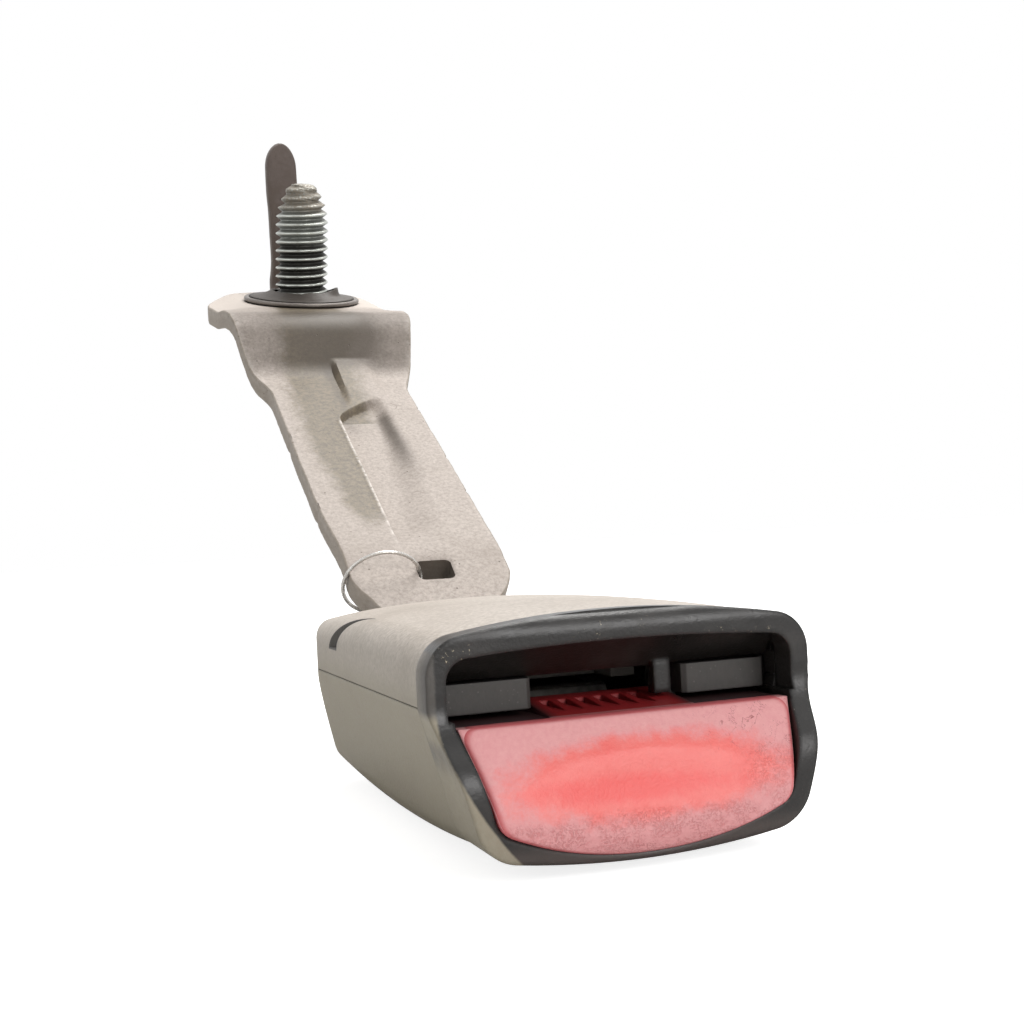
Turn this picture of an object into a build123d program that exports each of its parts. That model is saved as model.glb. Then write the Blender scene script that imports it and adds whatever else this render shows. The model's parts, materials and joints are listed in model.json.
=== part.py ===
"""Seat belt buckle on a rigid steel anchor strap.

Frame, in millimetres: X runs across the buckle, Y runs from the button face
back towards the anchor, Z runs up through the top cover.  The origin is the
mouth: the tongue's middle plane is Z = 0 and the mouth's face is Y = 0.
"""
from build123d import *
from math import cos, radians, sin, tan
import os

os.makedirs("parts", exist_ok=True)

# ---------------------------------------------------------------- housing
seam_y = 4.0                # bezel meets the covers here
shell_back = 66.0           # outer face of the back wall
shell_wall = 1.7
part_gap = 0.1              # between mouldings that meet
seam_z = -0.5               # parting plane of the two covers
beyond = 100.0              # longer than any piece, for cuts that go right through
half_width = 21.3
crown_front = 8.1           # highest line of the top cover
crown_middle = 8.6
crown_back = 7.0
crown_drop = 2.2            # fall of the crown from its middle to the sides
shoulder_radius = 4.0       # edge between crown and side
side_draft = 15.5           # degrees the lower cover's sides lean in
belly_front = -16.3         # underside, along the middle
belly_middle = -17.5
belly_back = -15.4
middle_y = 34.0
belly_rise_front = 1.6      # the underside's own crown, across
belly_rise_back = 0.7
belly_corner_radius = 4.6
plan_corner_radius = 11.0   # back corners seen from above
back_edge_radius = 4.0      # back wall into the underside

notch_tip_x = half_width - 3.3    # crescent gaps in the top cover's edges
notch_tip_y = 34.5
notch_near_y = 43.8         # its two ends at the cover's side
notch_far_y = 48.6
notch_bow_x = half_width - 1.9
notch_floor = 3.0
notch_wall = 1.4

post_y = 31.0               # lower cover: front face of the spring posts
post_length = 4.0
post_inner = 13.8
spring_stop_y = 40.5        # lower cover: rib behind the lock bar's springs
spring_stop_length = 2.0
spring_stop_width = 2.4
lock_spring_x = 9.55
latch_spring_y = 34.6
latch_coil_radius = 1.5
latch_seat_z = -13.6        # lower cover: pad under the latch spring

snap_y = 20.0               # snap tongues of the top cover
snap_length = 6.0
snap_inner = half_width - 4.4
snap_thickness = 1.3
snap_top = 3.4
snap_bottom = -5.0
hold_rib_x = 6.5            # ribs of the top cover that hold the steel frame down
hold_rib_y = 34.0
hold_rib_width = 1.4
hold_rib_length = 26.0
hold_rib_height = 3.2
rib_front_y = 18.2          # cross ribs of the lower cover
rib_back_y = 38.0
strap_slot_top = 6.0        # way out for the strap in the back wall
strap_slot_drop = 2.0

# ------------------------------------------------------------------ bezel
bezel_proud = 0.25
bezel_front_top = 0.3
bezel_front_low = -4.1
wave_top = 1.0              # heights where the wavy front edge starts and bulges most
wave_low = -10.0
lip_height = 3.1            # thickness of the lip over the mouth
lip_side = 1.8              # thickness of the lip beside the mouth
mouth_half_width = half_width - lip_side
mouth_corner_radius = 2.4
throat_y = 6.4              # back end of the funnel roof
throat_top = 1.6            # roof of the tongue slot
lip_radius = 1.3

# ----------------------------------------------------------------- button
button_gap = 0.3
button_top = -2.4
button_top_y = 0.6
button_top_half = mouth_half_width - 0.9
button_side_z = -12.3       # where the sides end
button_side_y = -4.4
button_lean = 2.7           # how much narrower the face is where its sides end
button_side_half = button_top_half - button_lean
button_bottom = -15.5
button_bottom_y = -3.1
button_corner_radius = 2.6
button_travel = 4.0
button_skin = 2.2
dish_half_length = 14.0
dish_depth = 1.2
dish_axis = 11.0             # how far in front of the face its axis stands
dish_z = -8.6
shelf_half_width = button_top_half - 0.4    # flat shelf along the whole top edge
shelf_depth = 8.5
shelf_thickness = 1.4
deck_half_width = 8.2
deck_top = -1.2             # back edge of the ribbed deck
deck_back = 12.0
deck_thickness = 1.6
rib_count = 6
rib_pitch = 2.1
pocket_first_x = -6.15
pocket_width = 1.15
pocket_front = 3.4
pocket_back = 9.0
pocket_depth = 0.9
arm_inner = 14.0
arm_width = 2.3
arm_back = 16.0
arm_top = -5.2
arm_bottom = -8.8

# ----------------------------------------------- tongue guide and steelwork
tongue_half_width = 8.8     # half the slot between the guide blocks
guide_outer = button_top_half
guide_front = 5.2
guide_back = 14.8
guide_bottom = -1.7
guide_roof_top = 3.6
post_x = 6.4
post_width = 1.9

frame_front = 15.2
frame_back = 57.5
frame_bottom = 1.5          # underside of the steel web, above the tongue
frame_thickness = 1.8
frame_inner = 11.0          # half the space between the legs
frame_leg_back = 43.5
leg_bottom = -9.6
bend_radius = 1.0

pivot_y = 39.5
pivot_z = -3.4
pin_radius = 1.5
fit = 0.05                  # radial play of pins and bores
latch_angle = 7.2           # degrees the latch hangs down when the buckle is empty
latch_half_width = 8.0
latch_thickness = 2.0
latch_drop = 0.2            # its lower face below the pivot's axis
latch_lug_radius = 2.6
latch_lug_width = 2.4
tooth_front = 17.3
tooth_length = 2.4
tooth_half_width = 5.0
tooth_top = 1.3

lock_travel = 4.0
lock_front = 20.6           # nose of the lock bar in its locked place
lock_length = 7.4
lock_top = -5.5
lock_bottom = -8.0
lock_ramp = 1.4             # height of the nose's ramp
lock_ramp_length = 2.6
lock_half_width = 13.4
lock_slot_play = 0.15

ejector_travel = 9.0
ejector_front = 17.0
ejector_length = 12.0
ejector_half_width = 8.4
ejector_fork = 5.0          # notch that clears the latch's tooth
ejector_top = 1.2
ejector_bottom = -0.6

coil_wire = 0.5
ejector_coil_radius = 1.15
lock_coil_radius = 0.95
button_coil_radius = 1.25

rivet_x = 3.8
rivet_y = 50.5
rivet_radius = 2.0
rivet_head_radius = 3.2
rivet_head = 1.2

# ------------------------------------------------------------ anchor strap
plate = 3.6                 # strap thickness
strap_half_width = 13.3
neck_half_width = 7.0       # the tail that enters the housing
tail_front = 44.5
tail_top = 1.45
entry_slope = 40.0
crease_y = 77.3
crease_z = 14.5
run_slope = 31.5            # the long straight run
riser_y = 135.3             # where the S-bend starts
riser_slope = 65.0
flange_slope = 16.8
seat_y = 162.8              # stud axis on the flange's upper face
seat_z = 69.1
head_radius = 20.0          # rounded head of the flange
strap_bend = 9.0
shoulder_front = 67.0
shoulder_back = 73.0
widen_start = 127.0
widen_end = 141.5
bend_half_width = head_radius - 1.7     # at the riser's upper bend
hole_x = 1.1
hole_y = 73.2
hole_size = 5.4
bead_x = 1.9                # stiffening bead, pressed downwards
bead_width = 9.4
bead_depth = 1.3
bead_steep = 0.6            # run of its left wall
bead_soft = 3.6             # run of its right wall
bead_start = 78.8
bead_end = 120.5
gusset_x = 4.2
gusset_width = 8.4
gusset_start = 124.0
gusset_end = 138.9
gusset_top = 57.3
tab_width = 6.8
tab_thickness = 3.2
tab_height = 33.0
tab_lap = 0.6               # how far the tab's near face stands inside the head's rim
tab_offset = head_radius - tab_lap
tab_x = -0.3

# -------------------------------------------------------------- anchor bolt
stud_radius = 11.1125 / 2   # 7/16 inch over the thread crests
shank_radius = 5.3          # plain neck below the thread
stud_length = 25.0
stud_tip_length = 5.4
stud_tip_radius = 2.6
bushing_radius = 7.4
seat_gap = 0.1
washer_radius = 12.3
washer_thickness = 0.8
collar_height = 2.6
collar_radius = 9.2
head_disc_radius = 10.5
head_disc_thickness = 2.0
hex_across_flats = 16.0
hex_height = 5.5
stud_taper = 1.8
wave_room = 1.0             # under the flange, for the wave washer

ring_radius = 7.3
ring_wire = 0.45
ring_lean = 88.0            # degrees from the strap's face


def slope(angle):
    """Rise over run of an angle in degrees."""
    return tan(radians(angle))


# ================================================================ housing
def housing_outline(top, floor, rise, inset):
    """One cross-section of the housing, moved in by inset."""
    edge = half_width - inset
    eave = top - crown_drop - inset
    low_z = floor + rise + inset
    low_x = edge - (seam_z - low_z) * slope(side_draft)
    with BuildSketch() as outline:
        with BuildLine():
            ThreePointArc((-edge, eave), (0, top - inset), (edge, eave))
            Line((edge, eave), (edge, seam_z))
            Line((edge, seam_z), (low_x, low_z))
            ThreePointArc((low_x, low_z), (0, floor + inset), (-low_x, low_z))
            Line((-low_x, low_z), (-edge, seam_z))
            Line((-edge, seam_z), (-edge, eave))
        make_face()
        corners = outline.vertices().sort_by(Axis.Y)
        fillet(corners[:2], belly_corner_radius - inset)
        corners = outline.vertices().sort_by(Axis.Y)
        fillet(corners[-2:], shoulder_radius - 0.9 * inset)
    return outline.sketch


def housing_block(inset):
    """The housing as a solid, each face moved in by inset."""
    back = shell_back - inset
    edge = half_width - inset
    stations = [
        (seam_y - shell_wall, crown_front, belly_front, belly_rise_front),
        (middle_y, crown_middle, belly_middle, belly_rise_back),
        (shell_back + shell_wall, crown_back, belly_back, belly_rise_back),
    ]
    with BuildPart() as block:
        for y, top, floor, rise in stations:
            with BuildSketch(Plane.XZ.offset(-y)):
                add(housing_outline(top, floor, rise, inset))
        loft()
        with BuildSketch(Plane.YZ):
            with Locations((back / 2, 0)):
                Rectangle(back, beyond)
            with Locations((back, belly_back + inset)):
                Rectangle(2 * back_edge_radius, 2 * back_edge_radius, mode=Mode.SUBTRACT)
            with Locations((back - back_edge_radius, belly_back + inset + back_edge_radius)):
                Circle(back_edge_radius)
        extrude(amount=beyond / 2, both=True, mode=Mode.INTERSECT)
        with BuildSketch(Plane.XY.offset(-beyond / 2)) as plan:
            with Locations((0, back / 2)):
                Rectangle(2 * edge, back)
            fillet(plan.vertices().group_by(Axis.Y)[-1], plan_corner_radius - inset)
        extrude(amount=beyond, mode=Mode.INTERSECT)
    return block.part


def notch_outline(side, grow):
    """The crescent gap in the top cover's edge, on one side, seen from above."""
    far_middle = (side * notch_bow_x, notch_far_y - 5.2 + grow)
    near_middle = (side * (notch_bow_x + 0.5), notch_near_y - 2.6 - grow)
    tip = (side * (notch_tip_x - grow), notch_tip_y)
    rim_x = side * (half_width + 0.5)
    with BuildSketch() as outline:
        with BuildLine():
            ThreePointArc(tip, far_middle, (rim_x, notch_far_y + grow))
            Line((rim_x, notch_far_y + grow), (rim_x, notch_near_y - grow))
            ThreePointArc((rim_x, notch_near_y - grow), near_middle, tip)
        make_face()
    return outline.sketch


outer_block = housing_block(0.0)
inner_block = housing_block(shell_wall)
strap_slot_half = neck_half_width + 0.6

with BuildPart() as notch_pads:
    add(outer_block)
    with BuildSketch(Plane.XY.offset(notch_floor - notch_wall)):
        for side in (-1, 1):
            add(notch_outline(side, notch_wall))
    extrude(amount=20, mode=Mode.INTERSECT)

with BuildPart() as upper_cover:
    add(outer_block)
    add(inner_block, mode=Mode.SUBTRACT)
    add(notch_pads.part)
    with Locations((0, seam_y + part_gap / 2, seam_z + part_gap / 2)):
        Box(beyond, beyond, beyond, align=(Align.CENTER, Align.MIN, Align.MIN), mode=Mode.INTERSECT)
    # two ribs that hold the steel frame down
    for x in (-hold_rib_x, hold_rib_x):
        with Locations((x, hold_rib_y, frame_bottom + frame_thickness + part_gap)):
            Box(hold_rib_width, hold_rib_length, hold_rib_height,
                align=(Align.CENTER, Align.CENTER, Align.MIN))
    # snap tongues that reach down into the lower cover
    for side in (-1, 1):
        with BuildSketch(Plane.XZ.offset(-snap_y)):
            with BuildLine():
                Polyline(
                    (side * (half_width - 1), snap_top), (side * snap_inner, snap_top),
                    (side * snap_inner, snap_bottom), (side * (snap_inner + 0.6), snap_bottom),
                    (side * (snap_inner + snap_thickness), snap_bottom + 1.2),
                    (side * (snap_inner + snap_thickness), snap_top - 1.4),
                    (side * (half_width - 1), snap_top - 1.4), (side * (half_width - 1), snap_top),
                )
            make_face()
        extrude(amount=-snap_length)
    with BuildSketch(Plane.XY.offset(notch_floor)):
        for side in (-1, 1):
            add(notch_outline(side, 0.0))
    extrude(amount=20, mode=Mode.SUBTRACT)
    # way out for the strap
    with Locations((0, shell_back, seam_z)):
        Box(2 * strap_slot_half, 8, 2 * (strap_slot_top - seam_z), mode=Mode.SUBTRACT)

with BuildPart() as lower_cover:
    add(outer_block)
    add(inner_block, mode=Mode.SUBTRACT)
    # two cross ribs carry the frame's legs
    for y in (rib_front_y, rib_back_y):
        with Locations((0, y, leg_bottom - part_gap)):
            Box(2 * (frame_inner + frame_thickness), shell_wall, 12,
                align=(Align.CENTER, Align.CENTER, Align.MAX))
    for side in (-1, 1):
        # posts behind the button's springs
        with Locations((side * (post_inner + 4), post_y, arm_bottom - 0.8)):
            Box(8, post_length, arm_top - arm_bottom + 1.6, align=(Align.CENTER, Align.MIN, Align.MIN))
        # stops behind the lock bar's springs
        with Locations((side * lock_spring_x, spring_stop_y, lock_top - 0.2)):
            Box(spring_stop_width, spring_stop_length, 16, align=(Align.CENTER, Align.MIN, Align.MAX))
    # pad under the latch spring
    with Locations((0, latch_spring_y, latch_seat_z)):
        Cylinder(latch_coil_radius + 1.0, 8, align=(Align.CENTER, Align.CENTER, Align.MAX))
    add(outer_block, mode=Mode.INTERSECT)
    with Locations((0, seam_y + part_gap / 2, seam_z - part_gap / 2)):
        Box(beyond, beyond, beyond, align=(Align.CENTER, Align.MIN, Align.MAX), mode=Mode.INTERSECT)
    with Locations((0, shell_back, seam_z)):
        Box(2 * strap_slot_half, 8, 2 * strap_slot_drop, mode=Mode.SUBTRACT)


# ================================================================= button
def button_outline(grow):
    """The button's front view; its window in the bezel grows by the gap."""
    with BuildSketch() as outline:
        with BuildLine():
            Line((-button_top_half - grow, button_top + grow), (button_top_half + grow, button_top + grow))
            Line((button_top_half + grow, button_top + grow), (button_side_half + grow, button_side_z))
            ThreePointArc((button_side_half + grow, button_side_z), (0, button_bottom - grow),
                          (-button_side_half - grow, button_side_z))
            Line((-button_side_half - grow, button_side_z), (-button_top_half - grow, button_top + grow))
        make_face()
        low_corners = outline.vertices().sort_by(Axis.Y)[:2]
        fillet(low_corners, button_corner_radius + grow)
    return outline.sketch


def slab_profile(depth):
    """The button's curved face seen from the side, depth thick."""
    top = (button_top_y, button_top + 1)
    middle = (button_side_y + 1.6, (button_top + button_side_z) / 2)
    side = (button_side_y, button_side_z)
    bottom = (button_bottom_y, button_bottom - 1)
    with BuildSketch() as profile:
        with BuildLine():
            Spline(top, middle, side, bottom)
            Line(bottom, (bottom[0] + depth, bottom[1]))
            Spline((bottom[0] + depth, bottom[1]), (side[0] + depth, side[1]),
                   (middle[0] + depth, middle[1]), (top[0] + depth, top[1]))
            Line((top[0] + depth, top[1]), top)
        make_face()
    return profile.sketch


with BuildPart() as press_button:
    with BuildSketch(Plane.XZ.offset(8)):
        add(button_outline(0.0))
    extrude(amount=-16)
    with BuildSketch(Plane.YZ):
        add(slab_profile(button_skin))
    extrude(amount=half_width, both=True, mode=Mode.INTERSECT)
    # the deck behind the top edge
    with BuildSketch(Plane.YZ):
        with BuildLine():
            Polyline((button_top_y + 0.4, button_top), (deck_back, deck_top),
                     (deck_back, deck_top - deck_thickness),
                     (button_top_y + 0.4, button_top - deck_thickness), (button_top_y + 0.4, button_top))
        make_face()
    extrude(amount=deck_half_width, both=True)
    with Locations((0, button_top_y + 0.4, button_top)):
        Box(2 * shelf_half_width, shelf_depth, shelf_thickness, align=(Align.CENTER, Align.MIN, Align.MAX))
    with BuildSketch(Plane.XY):
        for index in range(rib_count):
            with Locations((pocket_first_x + index * rib_pitch, (pocket_front + pocket_back) / 2)):
                Rectangle(pocket_width, pocket_back - pocket_front)
    extrude(amount=deck_top - pocket_depth, mode=Mode.SUBTRACT)
    # the two arms that free the lock bar
    for side in (-1, 1):
        with Locations((side * (arm_inner + arm_width / 2), button_top_y, (arm_top + arm_bottom) / 2)):
            Box(arm_width, arm_back - button_top_y, arm_top - arm_bottom,
                align=(Align.CENTER, Align.MIN, Align.CENTER))
            Box(arm_width, 2 * button_top_y + 4, arm_top - arm_bottom)
    with BuildSketch(Plane.YZ):
        add(slab_profile(deck_back + 20))
    extrude(amount=half_width, both=True, mode=Mode.INTERSECT)
    # thumb dish: a shallow spindle turned about a level line
    dish_radius = (dish_half_length**2 + dish_depth**2) / (2 * dish_depth)
    face_y = button_side_y + 0.75
    with BuildSketch(Plane.XY.offset(dish_z)):
        with BuildLine():
            ThreePointArc((-dish_half_length, face_y), (0, face_y + dish_depth), (dish_half_length, face_y))
            Line((dish_half_length, face_y), (dish_half_length, face_y - dish_axis))
            Line((dish_half_length, face_y - dish_axis), (-dish_half_length, face_y - dish_axis))
            Line((-dish_half_length, face_y - dish_axis), (-dish_half_length, face_y))
        make_face()
    revolve(axis=Axis((0, face_y - dish_axis, dish_z), (1, 0, 0)), mode=Mode.SUBTRACT)


# ================================================================== bezel
mouth_top = crown_front + bezel_proud - lip_height
mouth_side_top = mouth_top - 0.9
collar_back = throat_y + 0.6

with BuildPart() as mouth_space:
    with BuildSketch(Plane.XZ.offset(8)) as mouth:
        with BuildLine():
            ThreePointArc((-mouth_half_width, mouth_side_top), (0, mouth_top),
                          (mouth_half_width, mouth_side_top))
            Polyline((mouth_half_width, mouth_side_top), (mouth_half_width, guide_bottom),
                     (-mouth_half_width, guide_bottom), (-mouth_half_width, mouth_side_top))
        make_face()
        fillet(mouth.vertices().sort_by(Axis.Y)[-2:], mouth_corner_radius)
    extrude(amount=-20)
    with BuildSketch(Plane.YZ):
        with BuildLine():
            Polyline((-8, guide_bottom - 1), (-8, mouth_top + 9), (bezel_front_top + 0.9, mouth_top + 0.2),
                     (throat_y, throat_top), (throat_y, guide_bottom - 1), (-8, guide_bottom - 1))
        make_face()
    extrude(amount=half_width, both=True, mode=Mode.INTERSECT)

with BuildPart() as bezel:
    with BuildSketch(Plane.XZ.offset(part_gap / 2 - seam_y)):
        add(housing_outline(crown_front, belly_front, belly_rise_front, -bezel_proud))
    extrude(amount=10)
    with BuildSketch(Plane.XZ.offset(-collar_back)) as collar:
        add(housing_outline(crown_front, belly_front, belly_rise_front, shell_wall + part_gap))
        with Locations((0, button_top)):
            Rectangle(beyond, beyond, align=(Align.CENTER, Align.MAX), mode=Mode.SUBTRACT)
    extrude(amount=collar_back - seam_y + 0.5)
    with BuildSketch(Plane.YZ):
        with BuildLine():
            Spline((bezel_front_top, wave_top), (bezel_front_top, -0.9), (-1.5, -3.9),
                   (bezel_front_low + 0.4, -6.9), (bezel_front_low, wave_low),
                   (bezel_front_low + 0.5, belly_front - 0.4))
            Line((bezel_front_low + 0.5, belly_front - 0.4), (bezel_front_low + 0.9, belly_front - 1))
            Polyline((bezel_front_low + 0.9, belly_front - 1), (beyond, belly_front - 1),
                     (beyond, crown_front + 1), (bezel_front_top + lip_radius, crown_front + 1))
            Line((bezel_front_top + lip_radius, crown_front + 1), (bezel_front_top + lip_radius, crown_front))
            ThreePointArc((bezel_front_top + lip_radius, crown_front),
                          (bezel_front_top + 0.35, crown_front - 0.8), (bezel_front_top, crown_front - 2.2))
            Line((bezel_front_top, crown_front - 2.2), (bezel_front_top, wave_top))
        make_face()
    extrude(amount=half_width + 1, both=True, mode=Mode.INTERSECT)
    # window for the button, and the tongue slot above it
    with BuildSketch(Plane.XZ.offset(8)):
        add(button_outline(button_gap))
        with Locations((0, throat_top)):
            Rectangle(2 * (button_top_half + button_gap), throat_top - button_top + 0.2,
                      align=(Align.CENTER, Align.MAX))
    extrude(amount=-20, mode=Mode.SUBTRACT)
    add(mouth_space.part, mode=Mode.SUBTRACT)
    # small post beside the tongue's way in
    with Locations((post_x, guide_front + 0.1, throat_top + 0.5)):
        Box(post_width, collar_back - guide_front - 0.1, throat_top + 1.9,
            align=(Align.CENTER, Align.MIN, Align.MAX))

# ============================================================ tongue guide
with BuildPart() as tongue_guide:
    with BuildSketch(Plane.XZ.offset(-guide_front)):
        for side in (-1, 1):
            with Locations((side * (tongue_half_width + guide_outer) / 2, guide_bottom)):
                Rectangle(guide_outer - tongue_half_width, throat_top - part_gap - guide_bottom,
                          align=(Align.CENTER, Align.MIN))
    extrude(amount=-(guide_back - guide_front))
    lead_in = tongue_guide.edges().filter_by(Axis.Z).group_by(Axis.Y)[0]
    inner_pair = lead_in.sort_by(lambda edge: abs(edge.center().X))[:2]
    chamfer(inner_pair, 0.5)
    with Locations((0, collar_back + part_gap, throat_top - part_gap)):
        Box(2 * guide_outer - 6, guide_back - collar_back - part_gap, guide_roof_top - throat_top,
            align=(Align.CENTER, Align.MIN, Align.MIN))
    # pocket from behind leaves each block with a wall all round
    with Locations((0, guide_back, (guide_bottom + throat_top) / 2)):
        for side in (-1, 1):
            with Locations((side * (tongue_half_width + guide_outer) / 2, 0, 0)):
                Box(guide_outer - tongue_half_width - 2.8, 12, throat_top - guide_bottom - 1.9,
                    mode=Mode.SUBTRACT)

# ================================================================== frame
web_top = frame_bottom + frame_thickness
frame_outer = frame_inner + frame_thickness
slot_front = lock_front - 0.3
slot_back = lock_front + lock_travel + lock_length + 0.3

with BuildPart() as frame:
    with BuildSketch(Plane.XZ.offset(-frame_front)) as section:
        with Locations((0, web_top)):
            Rectangle(2 * frame_outer, web_top - leg_bottom, align=(Align.CENTER, Align.MAX))
        fillet(section.vertices().group_by(Axis.Y)[-1], bend_radius + frame_thickness)
        with BuildSketch(mode=Mode.PRIVATE) as hollow:
            with Locations((0, frame_bottom)):
                Rectangle(2 * frame_inner, 40, align=(Align.CENTER, Align.MAX))
            fillet(hollow.vertices().group_by(Axis.Y)[-1], bend_radius)
        add(hollow.sketch, mode=Mode.SUBTRACT)
    extrude(amount=-(frame_back - frame_front))
    with Locations((0, frame_leg_back, frame_bottom)):
        Box(beyond, beyond, beyond, align=(Align.CENTER, Align.MIN, Align.MAX), mode=Mode.SUBTRACT)
    # pin holes and the lock bar's slots, through both legs
    with BuildSketch(Plane.YZ):
        with Locations((pivot_y, pivot_z)):
            Circle(pin_radius + fit)
        with Locations(((slot_front + slot_back) / 2, (lock_top + lock_bottom) / 2)):
            Rectangle(slot_back - slot_front, lock_top - lock_bottom + 2 * lock_slot_play)
    extrude(amount=40, both=True, mode=Mode.SUBTRACT)
    with Locations((-rivet_x, rivet_y, frame_bottom), (rivet_x, rivet_y, frame_bottom)):
        Cylinder(rivet_radius + fit, 10, mode=Mode.SUBTRACT)

# ========================================================== latch and lock
tilt = radians(latch_angle)
latch_plane = Plane(origin=(0, pivot_y, pivot_z), x_dir=(0, cos(tilt), sin(tilt)), z_dir=(1, 0, 0))
plate_low = -latch_drop
plate_high = plate_low + latch_thickness
tooth_u = tooth_front - pivot_y
pad_front = lock_front - 0.2 - pivot_y
pad_back = lock_front + lock_ramp_length + 0.1 - pivot_y
pad_high = lock_top + 0.2 - pivot_z
pad_low = pad_high - lock_ramp - 0.1

with BuildPart() as latch_plate:
    with BuildSketch(latch_plane):
        with BuildLine():
            Polyline(
                (tooth_u, plate_low), (pad_front, plate_low), (pad_front, pad_low), (pad_back, pad_high),
                (pad_back, plate_low), (-pin_radius - 1.2, plate_low), (-pin_radius - 1.2, plate_high),
                (tooth_u, plate_high), (tooth_u, plate_low),
            )
        make_face()
    extrude(amount=latch_half_width, both=True)
    # hooked tooth, sloped on the side where the tongue comes in
    with BuildSketch(latch_plane):
        with BuildLine():
            Polyline((tooth_u, plate_low), (tooth_u, -pivot_z), (tooth_u + 0.9, tooth_top - pivot_z),
                     (tooth_u + tooth_length, tooth_top - pivot_z), (tooth_u + tooth_length, plate_low),
                     (tooth_u, plate_low))
        make_face()
    extrude(amount=tooth_half_width, both=True)
    # lugs with the pivot's bore
    for side in (-1, 1):
        with BuildSketch(latch_plane.offset(side * (latch_half_width - latch_lug_width / 2))):
            Circle(latch_lug_radius)
            with Locations((-latch_lug_radius, (plate_low + plate_high) / 2)):
                Rectangle(2 * latch_lug_radius, latch_thickness)
            Circle(pin_radius + fit, mode=Mode.SUBTRACT)
        extrude(amount=latch_lug_width / 2, both=True)

with BuildPart() as latch_pin:
    with BuildSketch(Plane.YZ.offset(-frame_outer - 0.6)):
        with Locations((pivot_y, pivot_z)):
            Circle(pin_radius)
    extrude(amount=2 * frame_outer + 1.2)
    with BuildSketch(Plane.YZ.offset(frame_outer + part_gap)):
        with Locations((pivot_y, pivot_z)):
            Circle(pin_radius + 0.8)
    extrude(amount=1.0)
    chamfer(latch_pin.faces().sort_by(Axis.X)[0].edges(), 0.3)

lock_rest = lock_front + lock_travel
with BuildPart() as lock_bar:
    with BuildSketch(Plane.YZ):
        with BuildLine():
            Polyline(
                (lock_rest, lock_bottom), (lock_rest, lock_top - lock_ramp),
                (lock_rest + lock_ramp_length, lock_top), (lock_rest + lock_length, lock_top),
                (lock_rest + lock_length, lock_bottom), (lock_rest, lock_bottom),
            )
        make_face()
    extrude(amount=lock_half_width, both=True)

with BuildPart() as ejector:
    with BuildSketch(Plane.XY.offset(ejector_bottom)) as plan:
        with Locations((0, ejector_front)):
            Rectangle(2 * ejector_half_width, ejector_length, align=(Align.CENTER, Align.MIN))
        fillet(plan.vertices().group_by(Axis.Y)[-1], 2.0)
        with Locations((0, ejector_front)):
            Rectangle(2 * tooth_half_width + 0.8, ejector_fork, align=(Align.CENTER, Align.MIN),
                      mode=Mode.SUBTRACT)
    extrude(amount=ejector_top - ejector_bottom)


# ================================================================ springs
def coil(start, direction, length, radius, turns):
    """A compression spring of one wire, from start along direction."""
    with BuildPart() as wound:
        with BuildLine() as path:
            Helix(pitch=(length - coil_wire) / turns, height=length - coil_wire, radius=radius,
                  center=Vector(start) + Vector(direction) * (coil_wire / 2), direction=direction)
        with BuildSketch(Plane(origin=path.line @ 0, z_dir=path.line % 0)):
            RegularPolygon(coil_wire / 2, 4)
        sweep()
    return wound.part


def coil_pair(x, start_y, end_y, z, radius, turns):
    """Two equal springs, left and right, lying along Y."""
    left = coil((-x, start_y, z), (0, 1, 0), end_y - start_y, radius, turns)
    right = coil((x, start_y, z), (0, 1, 0), end_y - start_y, radius, turns)
    return Compound(children=[left, right])


# ============================================================ anchor strap
entry_drop = crease_z - tail_top
bend_y = crease_y - entry_drop / slope(entry_slope)
riser_z = crease_z + (riser_y - crease_y) * slope(run_slope)
seat_line = seat_z - seat_y * slope(flange_slope)
flange_y = (seat_line + riser_y * slope(riser_slope) - riser_z) / (slope(riser_slope) - slope(flange_slope))
flange_z = seat_line + flange_y * slope(flange_slope)
head_back = seat_y + (tab_offset + 4) * cos(radians(flange_slope))
run_plane = Plane(origin=(0, crease_y, crease_z), x_dir=(1, 0, 0),
                  z_dir=(0, -sin(radians(run_slope)), cos(radians(run_slope))))
entry_plane = Plane(origin=(0, crease_y, crease_z), x_dir=(1, 0, 0),
                    z_dir=(0, -sin(radians(entry_slope)), cos(radians(entry_slope))))
seat_plane = Plane(origin=(0, seat_y, seat_z), x_dir=(1, 0, 0),
                   z_dir=(0, -sin(radians(flange_slope)), cos(radians(flange_slope))))
run_scale = 1 / cos(radians(run_slope))
bead_length = (bead_end - bead_start) * run_scale
bead_plane = Plane(origin=run_plane.from_local_coords((0, (bead_start - crease_y) * run_scale, 0)),
                   x_dir=(1, 0, 0), z_dir=-run_plane.y_dir)

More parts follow.
